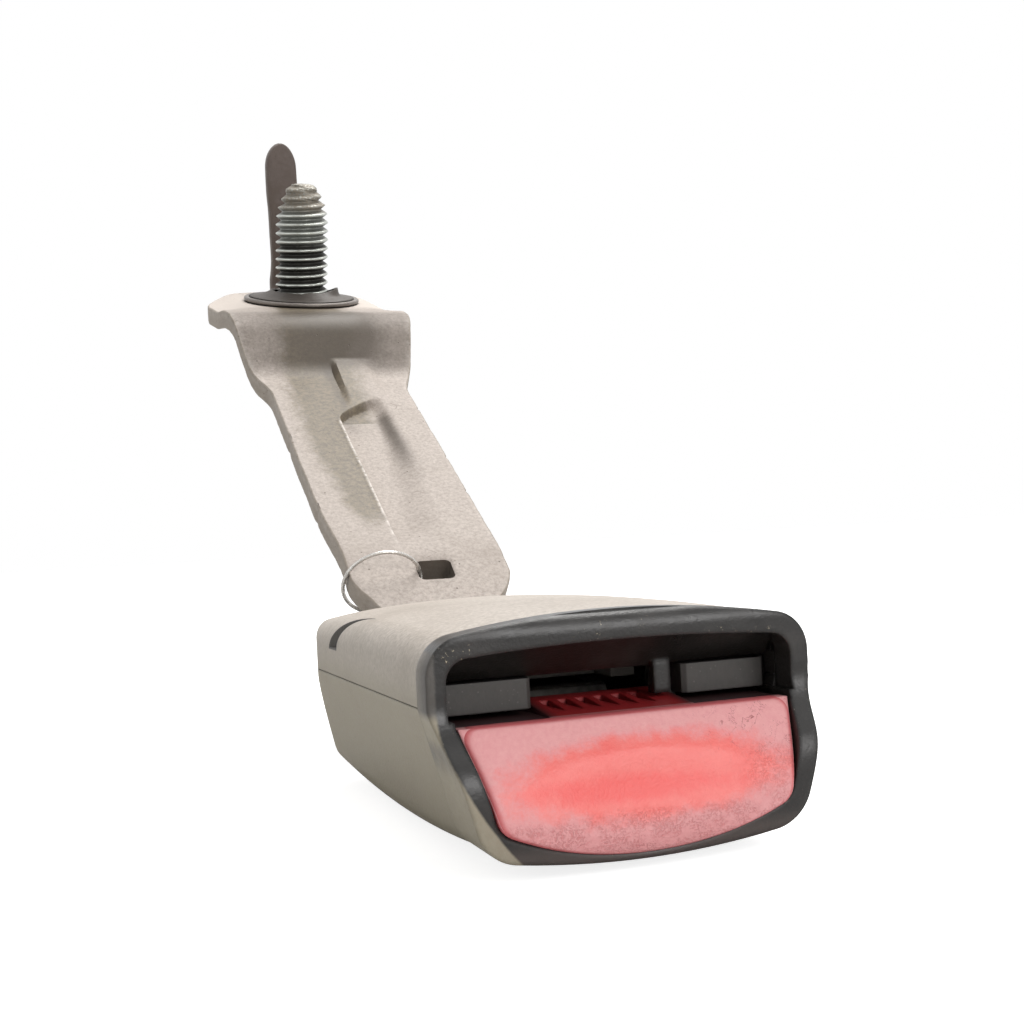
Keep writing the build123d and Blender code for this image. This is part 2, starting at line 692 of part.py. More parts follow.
with BuildPart() as anchor_strap:
    with BuildSketch(Plane.YZ.offset(-head_radius - 1)):
        with BuildLine():
            FilletPolyline(
                (tail_front, tail_top), (bend_y, tail_top), (crease_y, crease_z), (riser_y, riser_z),
                (flange_y, flange_z), (head_back, seat_line + head_back * slope(flange_slope)),
                radius=strap_bend,
            )
            offset(amount=plate, side=Side.RIGHT)
        make_face()
    extrude(amount=2 * head_radius + 2)
    with BuildSketch(Plane.XY.offset(-beyond / 5)):
        with BuildLine():
            Polyline((-neck_half_width, tail_front), (neck_half_width, tail_front),
                     (neck_half_width, shoulder_front))
            ThreePointArc((neck_half_width, shoulder_front), (strap_half_width - 1.9, shoulder_front + 2.6),
                          (strap_half_width, shoulder_back))
            Line((strap_half_width, shoulder_back), (strap_half_width, widen_start))
            Spline((strap_half_width, widen_start), (bend_half_width, widen_end),
                   tangents=[(0, 1), (0.1, 1)])
            Polyline((bend_half_width, widen_end), (head_radius, seat_y), (-head_radius, seat_y),
                     (-bend_half_width, widen_end))
            Spline((-bend_half_width, widen_end), (-strap_half_width, widen_start),
                   tangents=[(0.1, -1), (0, -1)])
            Line((-strap_half_width, widen_start), (-strap_half_width, shoulder_back))
            ThreePointArc((-strap_half_width, shoulder_back), (-strap_half_width + 1.9, shoulder_front + 2.6),
                          (-neck_half_width, shoulder_front))
            Line((-neck_half_width, shoulder_front), (-neck_half_width, tail_front))
        make_face()
        with Locations((0, seat_y)):
            Ellipse(head_radius, head_radius * cos(radians(flange_slope)))
    extrude(amount=1.2 * beyond, mode=Mode.INTERSECT)
    # stiffening bead: pushed down through the plate, so it stands out below
    bead_left = bead_x - bead_width / 2
    bead_right = bead_x + bead_width / 2
    with BuildSketch(bead_plane):
        with BuildLine():
            Polyline((bead_left, -plate + 0.1), (bead_right - bead_soft, -plate + 0.1),
                     (bead_right - 1.5 * bead_soft, -plate - bead_depth),
                     (bead_left + bead_depth, -plate - bead_depth), (bead_left, -plate + 0.1))
        make_face()
    extrude(amount=-bead_length)
    with BuildSketch(bead_plane):
        with BuildLine():
            Polyline((bead_left, 0.5), (bead_left, 0), (bead_left + bead_steep, -bead_depth),
                     (bead_right - bead_soft, -bead_depth), (bead_right, 0), (bead_right, 0.5),
                     (bead_left, 0.5))
        make_face()
    extrude(amount=-bead_length, mode=Mode.SUBTRACT)
    # gusset pressed into the inside of the riser's bend
    with BuildSketch(Plane.YZ.offset(gusset_x - gusset_width / 2)):
        with BuildLine():
            gusset_low = crease_z + (gusset_start - crease_y) * slope(run_slope)
            Polyline((gusset_start, gusset_low), (gusset_start + 1, gusset_low - 1.5),
                     (riser_y + 1.5, riser_z - 0.5), (gusset_end + 0.8, gusset_top - 1.2),
                     (gusset_end, gusset_top), (gusset_start, gusset_low))
        make_face()
    extrude(amount=gusset_width)
    # hole for the tag ring
    with BuildSketch(entry_plane):
        with Locations((hole_x, (hole_y - crease_y) / cos(radians(entry_slope)))):
            RectangleRounded(hole_size, hole_size, 1.2)
    extrude(amount=10, both=True, mode=Mode.SUBTRACT)
    # rivet holes in the tail, bolt hole in the flange
    with Locations((-rivet_x, rivet_y, 0), (rivet_x, rivet_y, 0)):
        Cylinder(rivet_radius + fit, 10, mode=Mode.SUBTRACT)
    # tab turned up from the flange's back edge
    with BuildSketch(Plane(origin=seat_plane.from_local_coords((tab_x, tab_offset, -plate)),
                           x_dir=(1, 0, 0), z_dir=-seat_plane.y_dir)):
        with BuildLine():
            Polyline((-tab_width / 2, tab_height + plate - tab_width / 2), (-tab_width / 2 - 0.4, 0),
                     (tab_width / 2 + 0.4, 0), (tab_width / 2, tab_height + plate - tab_width / 2))
            ThreePointArc((tab_width / 2, tab_height + plate - tab_width / 2), (0, tab_height + plate),
                          (-tab_width / 2, tab_height + plate - tab_width / 2))
        make_face()
    extrude(amount=-tab_thickness)
    with BuildSketch(seat_plane):
        with Locations((tab_x, tab_offset - 1)):
            Rectangle(tab_width + 0.8, tab_thickness + 2, align=(Align.CENTER, Align.MIN))
    extrude(amount=-plate)
    with BuildSketch(seat_plane):
        Circle(bushing_radius + fit)
    extrude(amount=10, both=True, mode=Mode.SUBTRACT)

with BuildPart() as frame_rivets:
    rivet_low = tail_top - plate
    with Locations((-rivet_x, rivet_y, rivet_low), (rivet_x, rivet_y, rivet_low)):
        Cylinder(rivet_radius, web_top - rivet_low, align=(Align.CENTER, Align.CENTER, Align.MIN))
        Cylinder(rivet_head_radius, rivet_head, align=(Align.CENTER, Align.CENTER, Align.MAX))
    with Locations((-rivet_x, rivet_y, web_top), (rivet_x, rivet_y, web_top)):
        Cone(rivet_head_radius, rivet_radius, rivet_head, align=(Align.CENTER, Align.CENTER, Align.MIN))

# ============================================================= anchor bolt
under_flange = -plate
disc_top = under_flange - wave_room

with BuildPart() as anchor_bushing:
    with BuildSketch(seat_plane.offset(disc_top + seat_gap)):
        Circle(bushing_radius)
        Circle(shank_radius + fit, mode=Mode.SUBTRACT)
    extrude(amount=-disc_top)

with BuildPart() as flat_washer:
    with BuildSketch(seat_plane.offset(2 * seat_gap)):
        Circle(washer_radius)
        Circle(shank_radius + fit, mode=Mode.SUBTRACT)
    extrude(amount=washer_thickness)
    chamfer(flat_washer.edges().filter_by(GeomType.CIRCLE).sort_by(SortBy.RADIUS)[-2:], 0.2)

collar_low = washer_thickness + 3 * seat_gap
thread_start = collar_low + collar_height + seat_gap
with BuildPart() as retaining_collar:
    with BuildSketch(seat_plane.offset(collar_low)):
        Circle(collar_radius)
    with BuildSketch(seat_plane.offset(collar_low + collar_height)):
        Circle(shank_radius + 0.9)
    loft()
    with BuildSketch(seat_plane.offset(collar_low)):
        Circle(shank_radius + fit)
    extrude(amount=collar_height, mode=Mode.SUBTRACT)

with BuildPart() as wave_washer:
    with BuildSketch(seat_plane.offset(disc_top + seat_gap)):
        Circle(head_disc_radius - 0.3)
        Circle(bushing_radius + 0.3, mode=Mode.SUBTRACT)
    extrude(amount=wave_room - 2 * seat_gap)

with BuildPart() as anchor_bolt:
    with BuildSketch(seat_plane.offset(disc_top)):
        Circle(shank_radius)
    extrude(amount=thread_start - disc_top)
    with BuildSketch(seat_plane.offset(thread_start)):
        Circle(stud_radius)
    extrude(amount=stud_length - stud_tip_length - thread_start)
    with BuildSketch(seat_plane.offset(stud_length - stud_tip_length)):
        Circle(stud_radius)
    with BuildSketch(seat_plane.offset(stud_length - stud_tip_length + stud_taper)):
        Circle(stud_tip_radius)
    loft()
    with BuildSketch(seat_plane.offset(stud_length - stud_tip_length + stud_taper)):
        Circle(stud_tip_radius)
    extrude(amount=stud_tip_length - stud_taper)
    with BuildSketch(seat_plane.offset(disc_top)):
        Circle(head_disc_radius)
    extrude(amount=-head_disc_thickness)
    with BuildSketch(seat_plane.offset(disc_top - head_disc_thickness)):
        RegularPolygon(hex_across_flats / 2, 6, major_radius=False)
    extrude(amount=-hex_height)
    crown_edges = anchor_bolt.faces().sort_by(Axis.Z)[0].edges()
    chamfer(crown_edges, 0.8)

# ================================================================ tag ring
ring_drop = (crease_y - hole_y) * slope(entry_slope)
ring_middle_x = (hole_x - hole_size / 2 - strap_half_width) / 2
ring_up = radians(entry_slope + ring_lean)
ring_centre = (ring_middle_x, hole_y + plate / 2 * sin(radians(entry_slope)),
               crease_z - ring_drop - plate / 2 * cos(radians(entry_slope)))
ring_plane = Plane(origin=ring_centre, x_dir=(1, 0, 0), z_dir=(0, -sin(ring_up), cos(ring_up)))
with BuildPart() as tag_ring:
    with BuildLine(ring_plane):
        CenterArc((0, 0), ring_radius, 0, 360)
    with BuildSketch(Plane(origin=ring_plane.from_local_coords((ring_radius, 0, 0)), z_dir=ring_plane.y_dir)):
        RegularPolygon(ring_wire, 8)
    sweep()

# ========================================================= springs in place
latch_under = pivot_z - (pivot_y - latch_spring_y) * sin(tilt) - latch_drop
latch_spring = coil((0, latch_spring_y, latch_seat_z + 0.1), (0, 0, 1),
                    latch_under - latch_seat_z - 0.5, latch_coil_radius, 5)
ejector_spring = coil((0, ejector_front + ejector_length + 0.1, 0), (0, 1, 0),
                      tail_front - ejector_front - ejector_length - 0.2, ejector_coil_radius, 6)
lock_springs = coil_pair(lock_spring_x, lock_rest + lock_length + 0.1, spring_stop_y - 0.1,
                         (lock_top + lock_bottom) / 2, lock_coil_radius, 4)
button_springs = coil_pair(arm_inner + arm_width / 2, arm_back + 0.1, post_y - 0.1,
                           (arm_top + arm_bottom) / 2, button_coil_radius, 5)

# ================================================================= exports
upper_cover.part.label = "upper_cover"
export_step(upper_cover.part, "parts/upper_cover.step")
lower_cover.part.label = "lower_cover"
export_step(lower_cover.part, "parts/lower_cover.step")
bezel.part.label = "bezel"
export_step(bezel.part, "parts/bezel.step")
press_button.part.label = "press_button"
export_step(press_button.part, "parts/press_button.step")
tongue_guide.part.label = "tongue_guide"
export_step(tongue_guide.part, "parts/tongue_guide.step")
frame.part.label = "frame"
export_step(frame.part, "parts/frame.step")
latch_plate.part.label = "latch_plate"
export_step(latch_plate.part, "parts/latch_plate.step")
latch_pin.part.label = "latch_pin"
export_step(latch_pin.part, "parts/latch_pin.step")
lock_bar.part.label = "lock_bar"
export_step(lock_bar.part, "parts/lock_bar.step")
ejector.part.label = "ejector"
export_step(ejector.part, "parts/ejector.step")
anchor_strap.part.label = "anchor_strap"
export_step(anchor_strap.part, "parts/anchor_strap.step")
frame_rivets.part.label = "frame_rivets"
export_step(frame_rivets.part, "parts/frame_rivets.step")
anchor_bolt.part.label = "anchor_bolt"
export_step(anchor_bolt.part, "parts/anchor_bolt.step")
anchor_bushing.part.label = "anchor_bushing"
export_step(anchor_bushing.part, "parts/anchor_bushing.step")
flat_washer.part.label = "flat_washer"
export_step(flat_washer.part, "parts/flat_washer.step")
retaining_collar.part.label = "retaining_collar"
export_step(retaining_collar.part, "parts/retaining_collar.step")
wave_washer.part.label = "wave_washer"
export_step(wave_washer.part, "parts/wave_washer.step")
tag_ring.part.label = "tag_ring"
export_step(tag_ring.part, "parts/tag_ring.step")
latch_spring.label = "latch_spring"
export_step(latch_spring, "parts/latch_spring.step")
ejector_spring.label = "ejector_spring"
export_step(ejector_spring, "parts/ejector_spring.step")
lock_springs.label = "lock_springs"
export_step(lock_springs, "parts/lock_springs.step")
button_springs.label = "button_springs"
export_step(button_springs, "parts/button_springs.step")
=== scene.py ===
# %% [markdown]
# # A seat belt buckle on its steel strap
#
# This lesson dresses a finished CAD model of a seat belt buckle.  The covers,
# the bezel, the guides and the mechanism behind them already have the right
# shape, so they only get a finish.  Six pieces are made here as surfaces worked
# out with numpy: the pressed strap with its tab, the threaded stud, the torn
# collar round it, the wire ring and the skin of the button's face.  A thread,
# a sheared sheet edge, torn plastic and a dish without an edge are forms that
# plates and cylinders can't give.  All lengths in the shape code are
# millimetres, and one helper turns them into metres at the end.

# %% Load the CAD model
import bpy
import json
import numpy as np
from math import radians
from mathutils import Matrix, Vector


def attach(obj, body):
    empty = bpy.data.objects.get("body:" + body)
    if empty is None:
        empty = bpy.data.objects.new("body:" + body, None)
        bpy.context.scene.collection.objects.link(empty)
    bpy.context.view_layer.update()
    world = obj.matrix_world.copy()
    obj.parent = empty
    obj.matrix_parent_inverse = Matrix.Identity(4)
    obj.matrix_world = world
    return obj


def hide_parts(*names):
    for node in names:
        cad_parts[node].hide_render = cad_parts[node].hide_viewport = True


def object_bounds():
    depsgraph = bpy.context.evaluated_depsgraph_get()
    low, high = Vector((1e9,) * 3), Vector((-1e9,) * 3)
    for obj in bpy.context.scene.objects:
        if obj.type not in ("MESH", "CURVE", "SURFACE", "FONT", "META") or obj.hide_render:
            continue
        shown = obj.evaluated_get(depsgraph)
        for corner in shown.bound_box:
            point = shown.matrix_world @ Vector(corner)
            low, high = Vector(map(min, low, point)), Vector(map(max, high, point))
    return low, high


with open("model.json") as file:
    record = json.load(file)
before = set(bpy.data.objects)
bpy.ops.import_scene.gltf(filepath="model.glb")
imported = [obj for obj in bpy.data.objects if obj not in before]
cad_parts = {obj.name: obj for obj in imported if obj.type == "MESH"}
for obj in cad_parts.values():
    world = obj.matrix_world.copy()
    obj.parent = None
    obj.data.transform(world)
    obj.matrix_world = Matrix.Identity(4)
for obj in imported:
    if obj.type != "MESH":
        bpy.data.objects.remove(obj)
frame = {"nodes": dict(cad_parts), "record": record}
cad_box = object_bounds()
nodes = frame["nodes"]
scene = bpy.context.scene

# %% [markdown]
# ## The camera
#
# A buckle lying on a table is looked at from the front, a little to its left
# and just above it, so the button is large and the strap runs away behind it.
# The lens is a short portrait lens, which keeps that depth without bending
# the straight lines of the bezel.

# %% Camera
lens = bpy.data.cameras.new("buckle_camera")
lens.lens = 47.468
lens.sensor_width = 36.0
lens.clip_start = 0.005
viewer = bpy.data.objects.new("buckle_camera", lens)
viewer.location = (-0.05703336, -0.12791207, 0.01700207)
viewer.rotation_euler = (radians(90.7837), radians(3.0438), radians(-19.4576))
scene.collection.objects.link(viewer)
scene.camera = viewer
print("camera at", [round(v, 4) for v in viewer.location], "with a lens of", lens.lens, "mm")

# %% [markdown]
# ## Light
#
# Plastic and phosphated steel show their grain in soft light from a large
# window above, with a weaker one opposite so that the shaded side keeps its
# colour.  Area lamps do that.  The white surroundings come from the world, which
# is bright for the camera and for reflections but much weaker as a light, so
# that the colours stay as they are written.

# %% Lamps and surroundings
def window(name, place, target, size, watts, colour):
    """A square area lamp at one point, turned to face another."""
    lamp = bpy.data.lights.new(name, "AREA")
    lamp.shape = "SQUARE"
    lamp.size = size
    lamp.energy = watts
    lamp.color = colour
    obj = bpy.data.objects.new(name, lamp)
    obj.location = place
    aim = np.array(target) - np.array(place)
    obj.rotation_euler = Vector(aim.tolist()).to_track_quat("-Z", "Y").to_euler()
    scene.collection.objects.link(obj)
    print(name, "gives", watts, "W")


WARM, NEUTRAL, COOL = (1.0, 0.985, 0.965), (1.0, 0.99, 0.985), (0.97, 0.985, 1.0)
window("key_window", (0.15, 0.20, 0.60), (0, 0.06, 0.0), 0.40, 3.7, WARM)
window("front_window", (0.22, -0.55, 0.28), (0, 0.0, -0.005), 0.34, 2.0, NEUTRAL)
window("left_window", (-0.60, 0.05, 0.22), (0, 0.05, 0.0), 0.45, 0.45, COOL)

# %% [markdown]
# ## The white room
#
# A world can give one strength as light and another to the eye: the Light Path
# node tells which kind of ray asks.  Rays from the camera, from a mirror or
# through something clear get the bright white, and all others the weak one.

# %% White room
ROOM_LIGHT, ROOM_SEEN = 0.30, 1.0
world = bpy.data.worlds.new("white_room")
scene.world = world
world.use_nodes = True
room = world.node_tree
room.nodes.clear()
ray = room.nodes.new("ShaderNodeLightPath")


def backdrop(strength):
    """A plain white background of one strength."""
    made = room.nodes.new("ShaderNodeBackground")
    made.inputs["Color"].default_value = (1, 1, 1, 1)
    made.inputs["Strength"].default_value = strength
    return made.outputs[0]


def larger(a, b):
    """The larger of two node outputs."""
    made = room.nodes.new("ShaderNodeMath")
    made.operation = "MAXIMUM"
    room.links.new(a, made.inputs[0])
    room.links.new(b, made.inputs[1])
    return made.outputs[0]


mirrored = larger(ray.outputs["Is Glossy Ray"], ray.outputs["Is Transmission Ray"])
choose = room.nodes.new("ShaderNodeMixShader")
room.links.new(larger(ray.outputs["Is Camera Ray"], mirrored), choose.inputs[0])
room.links.new(backdrop(ROOM_LIGHT), choose.inputs[1])
room.links.new(backdrop(ROOM_SEEN), choose.inputs[2])
room_out = room.nodes.new("ShaderNodeOutputWorld")
room.links.new(choose.outputs[0], room_out.inputs["Surface"])
scene.view_settings.view_transform = "Standard"
print("a white room,", ROOM_LIGHT, "strong as a light and", ROOM_SEEN, "to the eye")

# %% [markdown]
# ## Short ways to write a finish
#
# Every finish here is a Principled shader fed by a few pattern nodes.  Wiring
# them by hand takes five lines each, so three small classes, each built on the
# one before, keep the node tree and offer one short method for each step.
# The first does the wiring: it adds nodes, links them, and mixes colours.

# %% Colours
def linear(code):
    """A colour written as six hex digits, as the linear values that shaders use."""
    srgb = np.array([int(code[i:i + 2], 16) for i in (0, 2, 4)]) / 255
    value = np.where(srgb <= 0.04045, srgb / 12.92, ((srgb + 0.055) / 1.055) ** 2.4)
    return tuple(float(v) for v in value) + (1.0,)


print("mid grey in linear light is", round(linear("808080")[0], 3))

# %% Wiring
class Wiring:
    """A material's Principled shader, and ways to link nodes to it."""

    def __init__(self, name, metallic=0.0, specular=0.5):
        self.material = bpy.data.materials.new(name)
        self.material.use_nodes = True
        self.tree = self.material.node_tree
        self.shader = self.tree.nodes["Principled BSDF"]
        self.shader.inputs["Metallic"].default_value = metallic
        self.shader.inputs["Specular IOR Level"].default_value = specular
        self.where = self.tree.nodes.new("ShaderNodeTexCoord").outputs["Object"]

    def put(self, socket, value):
        """Sets a socket to a number or colour, or links another node's output to it."""
        if hasattr(value, "links"):
            self.tree.links.new(value, socket)
        else:
            socket.default_value = value

    def add(self, kind, **settings):
        """Adds a node, and sets its plain properties."""
        made = self.tree.nodes.new("ShaderNode" + kind)
        for key, value in settings.items():
            setattr(made, key, value)
        return made

    def calc(self, operation, a, b=0.0):
        """One step of arithmetic on two values."""
        made = self.add("Math", operation=operation)
        self.put(made.inputs[0], a)
        self.put(made.inputs[1], b)
        return made.outputs[0]

    def times(self, first, *others):
        """The product of several values."""
        for value in others:
            first = self.calc("MULTIPLY", first, value)
        return first

    def band(self, value, low, high, to_low=0.0, to_high=1.0):
        """Turns the stretch low..high of a value smoothly into to_low..to_high.

        With low above high it falls where it would rise.
        """
        made = self.add("MapRange", interpolation_type="SMOOTHSTEP")
        self.put(made.inputs["Value"], value)
        made.inputs["From Min"].default_value = low
        made.inputs["From Max"].default_value = high
        made.inputs["To Min"].default_value = to_low
        made.inputs["To Max"].default_value = to_high
        return made.outputs["Result"]

    def blend(self, share, a, b):
        """Colour a where share is 0, colour b where it is 1."""
        made = self.add("Mix", data_type="RGBA")
        self.put(made.inputs["Factor"], share)
        self.put(made.inputs[6], a)
        self.put(made.inputs[7], b)
        return made.outputs[2]

    def over(self, base, code, share, *thinned):
        """Lays a colour over the base where share is 1, thinned by more factors."""
        return self.blend(self.times(share, *thinned), base, linear(code))


print("wiring ready")

# %% [markdown]
# ## Patterns
#
# The second class makes the patterns.  Sizes are given in millimetres, and all
# of them read object coordinates, so they stay on the piece when it moves.

# %% Patterns
class Patterns(Wiring):
    """Noise, cells and places on a piece, as values that colours can follow."""

    def stretched(self, size, stretch):
        """Object coordinates in lumps of size millimetres, longer on stretched axes."""
        turn = self.add("Mapping")
        turn.inputs["Scale"].default_value = [1000.0 / (size * s) for s in stretch]
        self.put(turn.inputs["Vector"], self.where)
        return turn.outputs[0]

    def noise(self, size, detail=3.0, rough=0.5, stretch=(1, 1, 1), twist=0.0):
        """Cloudy noise from 0 to 1 whose lumps are about size millimetres across."""
        made = self.add("TexNoise")
        self.put(made.inputs["Vector"], self.stretched(size, stretch))
        made.inputs["Scale"].default_value = 1.0
        made.inputs["Detail"].default_value = detail
        made.inputs["Roughness"].default_value = rough
        made.inputs["Distortion"].default_value = twist
        return made.outputs["Fac"]

    def cells(self, size, feature="F1", stretch=(1, 1, 1)):
        """Distance in a pattern of cells: to the nearest seed, or to the cell's edge."""
        made = self.add("TexVoronoi", feature=feature)
        self.put(made.inputs["Vector"], self.stretched(size, stretch))
        made.inputs["Scale"].default_value = 1.0
        return made.outputs["Distance"]

    def attribute(self, name):
        """A value that the mesh carries on its points."""
        return self.add("Attribute", attribute_name=name).outputs["Fac"]

    def axis(self, letter):
        """One of the object coordinates, in millimetres."""
        split = self.add("SeparateXYZ")
        self.put(split.inputs[0], self.where)
        return self.times(split.outputs[letter], 1000.0)

    def oval(self, *axes):
        """Distance from an ellipse's middle, 1 on its edge, from (value, middle, half)s."""
        total = 0.0
        for value, middle, half in axes:
            share = self.calc("DIVIDE", self.calc("SUBTRACT", value, middle), half)
            total = self.calc("ADD", self.calc("POWER", share, 2.0), total)
        return self.calc("SQRT", total)

    def ragged(self, value, size, amount, detail=5, rough=0.7):
        """A value with cloudy noise added, so that a limit drawn through it is uneven."""
        cloud = self.calc("SUBTRACT", self.noise(size, detail=detail, rough=rough), 0.5)
        return self.calc("ADD", value, self.times(cloud, amount))


print("patterns ready")

# %% [markdown]
# ## Edges, corners and the skin
#
# The third class deals with the surface itself.  The Bevel node gives the normal
# that rounded edges would have, which softens hard CAD edges, and tells where
# wear would rub first.  Ambient Occlusion finds the corners that light misses,
# where shade is painted into the colours.

# %% Finish
class Finish(Patterns):
    """A whole finish: wear on edges, painted shade in corners, fine relief, and the shader."""

    def rounded(self, radius):
        """The normal of the surface with its edges rounded to a radius in millimetres."""
        made = self.add("Bevel", samples=6)
        made.inputs["Radius"].default_value = radius / 1000
        return made.outputs[0]

    def rim(self, radius):
        """1 on edges and 0 on flats: how far the rounded normal leans from the true one."""
        geometry = self.add("NewGeometry")
        dot = self.add("VectorMath", operation="DOT_PRODUCT")
        self.put(dot.inputs[0], self.rounded(radius))
        self.put(dot.inputs[1], geometry.outputs["Normal"])
        return self.band(dot.outputs["Value"], 0.995, 0.85)

    def corner_shade(self, reach):
        """1 where surfaces within reach millimetres hide a point, 0 in the open: a mask for
        painted shade.
        """
        made = self.add("AmbientOcclusion", samples=6)
        made.inputs["Distance"].default_value = reach / 1000
        return self.band(made.outputs["AO"], 0.75, 0.25)

    def bumps(self, height, depth, normal=None):
        """Relief of depth millimetres, following a height from 0 to 1."""
        made = self.add("Bump")
        made.inputs["Distance"].default_value = depth / 1000
        self.put(made.inputs["Height"], height)
        if normal is not None:
            self.put(made.inputs["Normal"], normal)
        return made.outputs[0]

    def wear(self, colour, roughness, normal):
        """Feeds the shader, and returns the material."""
        self.put(self.shader.inputs["Base Color"], colour)
        self.put(self.shader.inputs["Roughness"], roughness)
        self.put(self.shader.inputs["Normal"], normal)
        return self.material


print("finish class ready")

# %% [markdown]
# ## Cover plastic
#
# The two covers are moulded in warm grey polypropylene with a fine spark-eroded
# grain.  The grain could be displaced, but its height is a few hundredths of
# a millimetre, so a bump is enough.  Handling has polished the edges a little.
# The colour is painted darker and more olive down from the crown and over the
# flanks: that is painted shade, for the sides that the lamps light less.  The
# bezel's flanks wear the same colour, so it has a function of its own.

# %% Cover colour
def cover_colour(f):
    """Pale speckled grey on top, painted darker and olive down the flanks as painted shade;
    also gives the speckle.
    """
    speck = f.noise(0.55, detail=4, rough=0.7)
    cloud = f.noise(14.0, detail=3, rough=0.55)
    z = f.axis("Z")
    base = f.blend(f.band(speck, 0.3, 0.7), linear("AFA59A"), linear("D2C9C0"))
    # painted shade: darker from the crown down, and darker and more olive over the flanks
    base = f.over(base, "8C8576", f.band(f.ragged(z, 8.0, 3.0), 7.2, 3.0), 0.45)
    base = f.over(base, "8F8773", f.band(z, 3.5, -2.0), 0.80)
    base = f.over(base, "85796B", f.band(cloud, 0.45, 0.75, 0.0, 0.22))
    pits = f.band(f.cells(1.9), 0.10, 0.03)
    return speck, f.over(base, "6F665B", pits, 0.45)


# %% [markdown]
# ## The crescent gaps
#
# The upper cover has a crescent gap in each side, through which the dark inside
# shows.  Seen from above, each gap lies between two arcs: outside the circle of
# the near one and inside the circle of the far one.  The same two circles pick
# out the gap's walls, which get no light and so are painted dark.

# %% Cover plastic
NEAR_ARC = dict(x=32.453, y=34.021, radius=14.461)
FAR_ARC = dict(x=44.755, y=34.851, radius=26.758)
GAP_FROM_Y, GAP_FLOOR_Z = 34.3, 2.7


def from_arc(f, half, y, arc):
    """Distance from an arc's centre as a share of its radius."""
    return f.oval((half, arc["x"], arc["radius"]), (y, arc["y"], arc["radius"]))


def cover_plastic():
    """The covers' finish, with painted shade on the gaps' walls, in corners and on the shell's
    inside.
    """
    f = Finish("cover_plastic", specular=0.4)
    speck, base = cover_colour(f)
    half, y, z = f.calc("ABSOLUTE", f.axis("X")), f.axis("Y"), f.axis("Z")
    between = f.times(f.band(from_arc(f, half, y, NEAR_ARC), 0.9917, 0.9986),
                      f.band(from_arc(f, half, y, FAR_ARC), 1.0045, 1.0007))
    gap_shade = f.times(between, f.band(y, GAP_FROM_Y, GAP_FROM_Y + 0.3),
                  f.band(z, GAP_FLOOR_Z, GAP_FLOOR_Z + 0.2), 0.92)
    # painted shade: the gaps' walls and the corners are painted dark
    dark = f.calc("MAXIMUM", gap_shade, f.times(f.corner_shade(0.9), 0.7))
    base = f.over(base, "2E2A26", dark)
    # painted shade on the shell's inside: the same plastic, painted dark for the shade there
    inside_shade = f.times(f.band(half, 20.5, 20.3), f.band(z, 4.4, 4.0), f.band(z, -3.4, -3.0),
                    f.band(y, 40.0, 30.0))
    base = f.over(base, "24211F", inside_shade)
    grain = f.bumps(f.noise(0.42, detail=2, rough=0.6), 0.06, f.rounded(0.45))
    return f.wear(base, f.band(speck, 0.2, 0.8, 0.42, 0.60), grain)


# %% [markdown]
# ## Bezel plastic
#
# The bezel round the mouth is a separate moulding in near-black acetal, satin
# where it is untouched and shinier along the lip where hands and tongue have
# rubbed it.  The covers' colour has been sprayed over its flanks, up to a line
# just behind the lip; above the seam that paint has mostly rubbed off.
# The belt's steel tongue hits the upper lip thousands of times, which leaves
# tiny pale chips: the peaks of a fine noise, kept only in groups and along
# a curve that follows the crown of the lip.

# %% Where the bezel is painted and chipped
CROWN_Z, CROWN_FALL = 5.7, 0.0048      # the upper lip's crown: height and fall per X squared
PAINT_HALF, PAINT_DROP = 20.6, 4.5     # the paint's limit, and how far it moves in at the foot
DROP_FROM_Z, DROP_DEPTH = -3.0, 9.7


def chips_on_lip(f, x, y, z):
    """Pale chips, kept between two heights over the crown of the upper lip."""
    crown = f.calc("SUBTRACT", CROWN_Z, f.times(f.calc("POWER", x, 2.0), CROWN_FALL))
    above = f.calc("SUBTRACT", z, crown)
    lip = f.times(f.band(above, -0.2, 0.4), f.band(above, 1.9, 1.2), f.band(y, 3.0, 1.5))
    small = f.band(f.noise(0.55, detail=4, rough=0.8), 0.58, 0.66)
    groups = f.band(f.noise(3.4, detail=3), 0.50, 0.60)
    return f.times(small, groups, lip)


def painted_flank(f, x, z):
    """1 on the flanks that wear the covers' colour, out to a line that moves in downwards."""
    depth = f.calc("DIVIDE", f.calc("SUBTRACT", DROP_FROM_Z, z), DROP_DEPTH)
    drop = f.calc("POWER", f.calc("MAXIMUM", depth, 0.0), 1.6)
    limit = f.ragged(f.calc("SUBTRACT", PAINT_HALF, f.times(drop, PAINT_DROP)), 2.0, 0.3)
    out = f.band(f.calc("SUBTRACT", f.calc("ABSOLUTE", x), limit), -0.15, 0.25)
    facing = f.add("SeparateXYZ")
    f.put(facing.inputs[0], f.add("NewGeometry").outputs["Normal"])
    sideways = f.band(f.calc("ABSOLUTE", facing.outputs["X"]), 0.6, 0.85)
    return f.times(out, f.calc("MAXIMUM", sideways, f.band(x, -12.0, -13.0)))


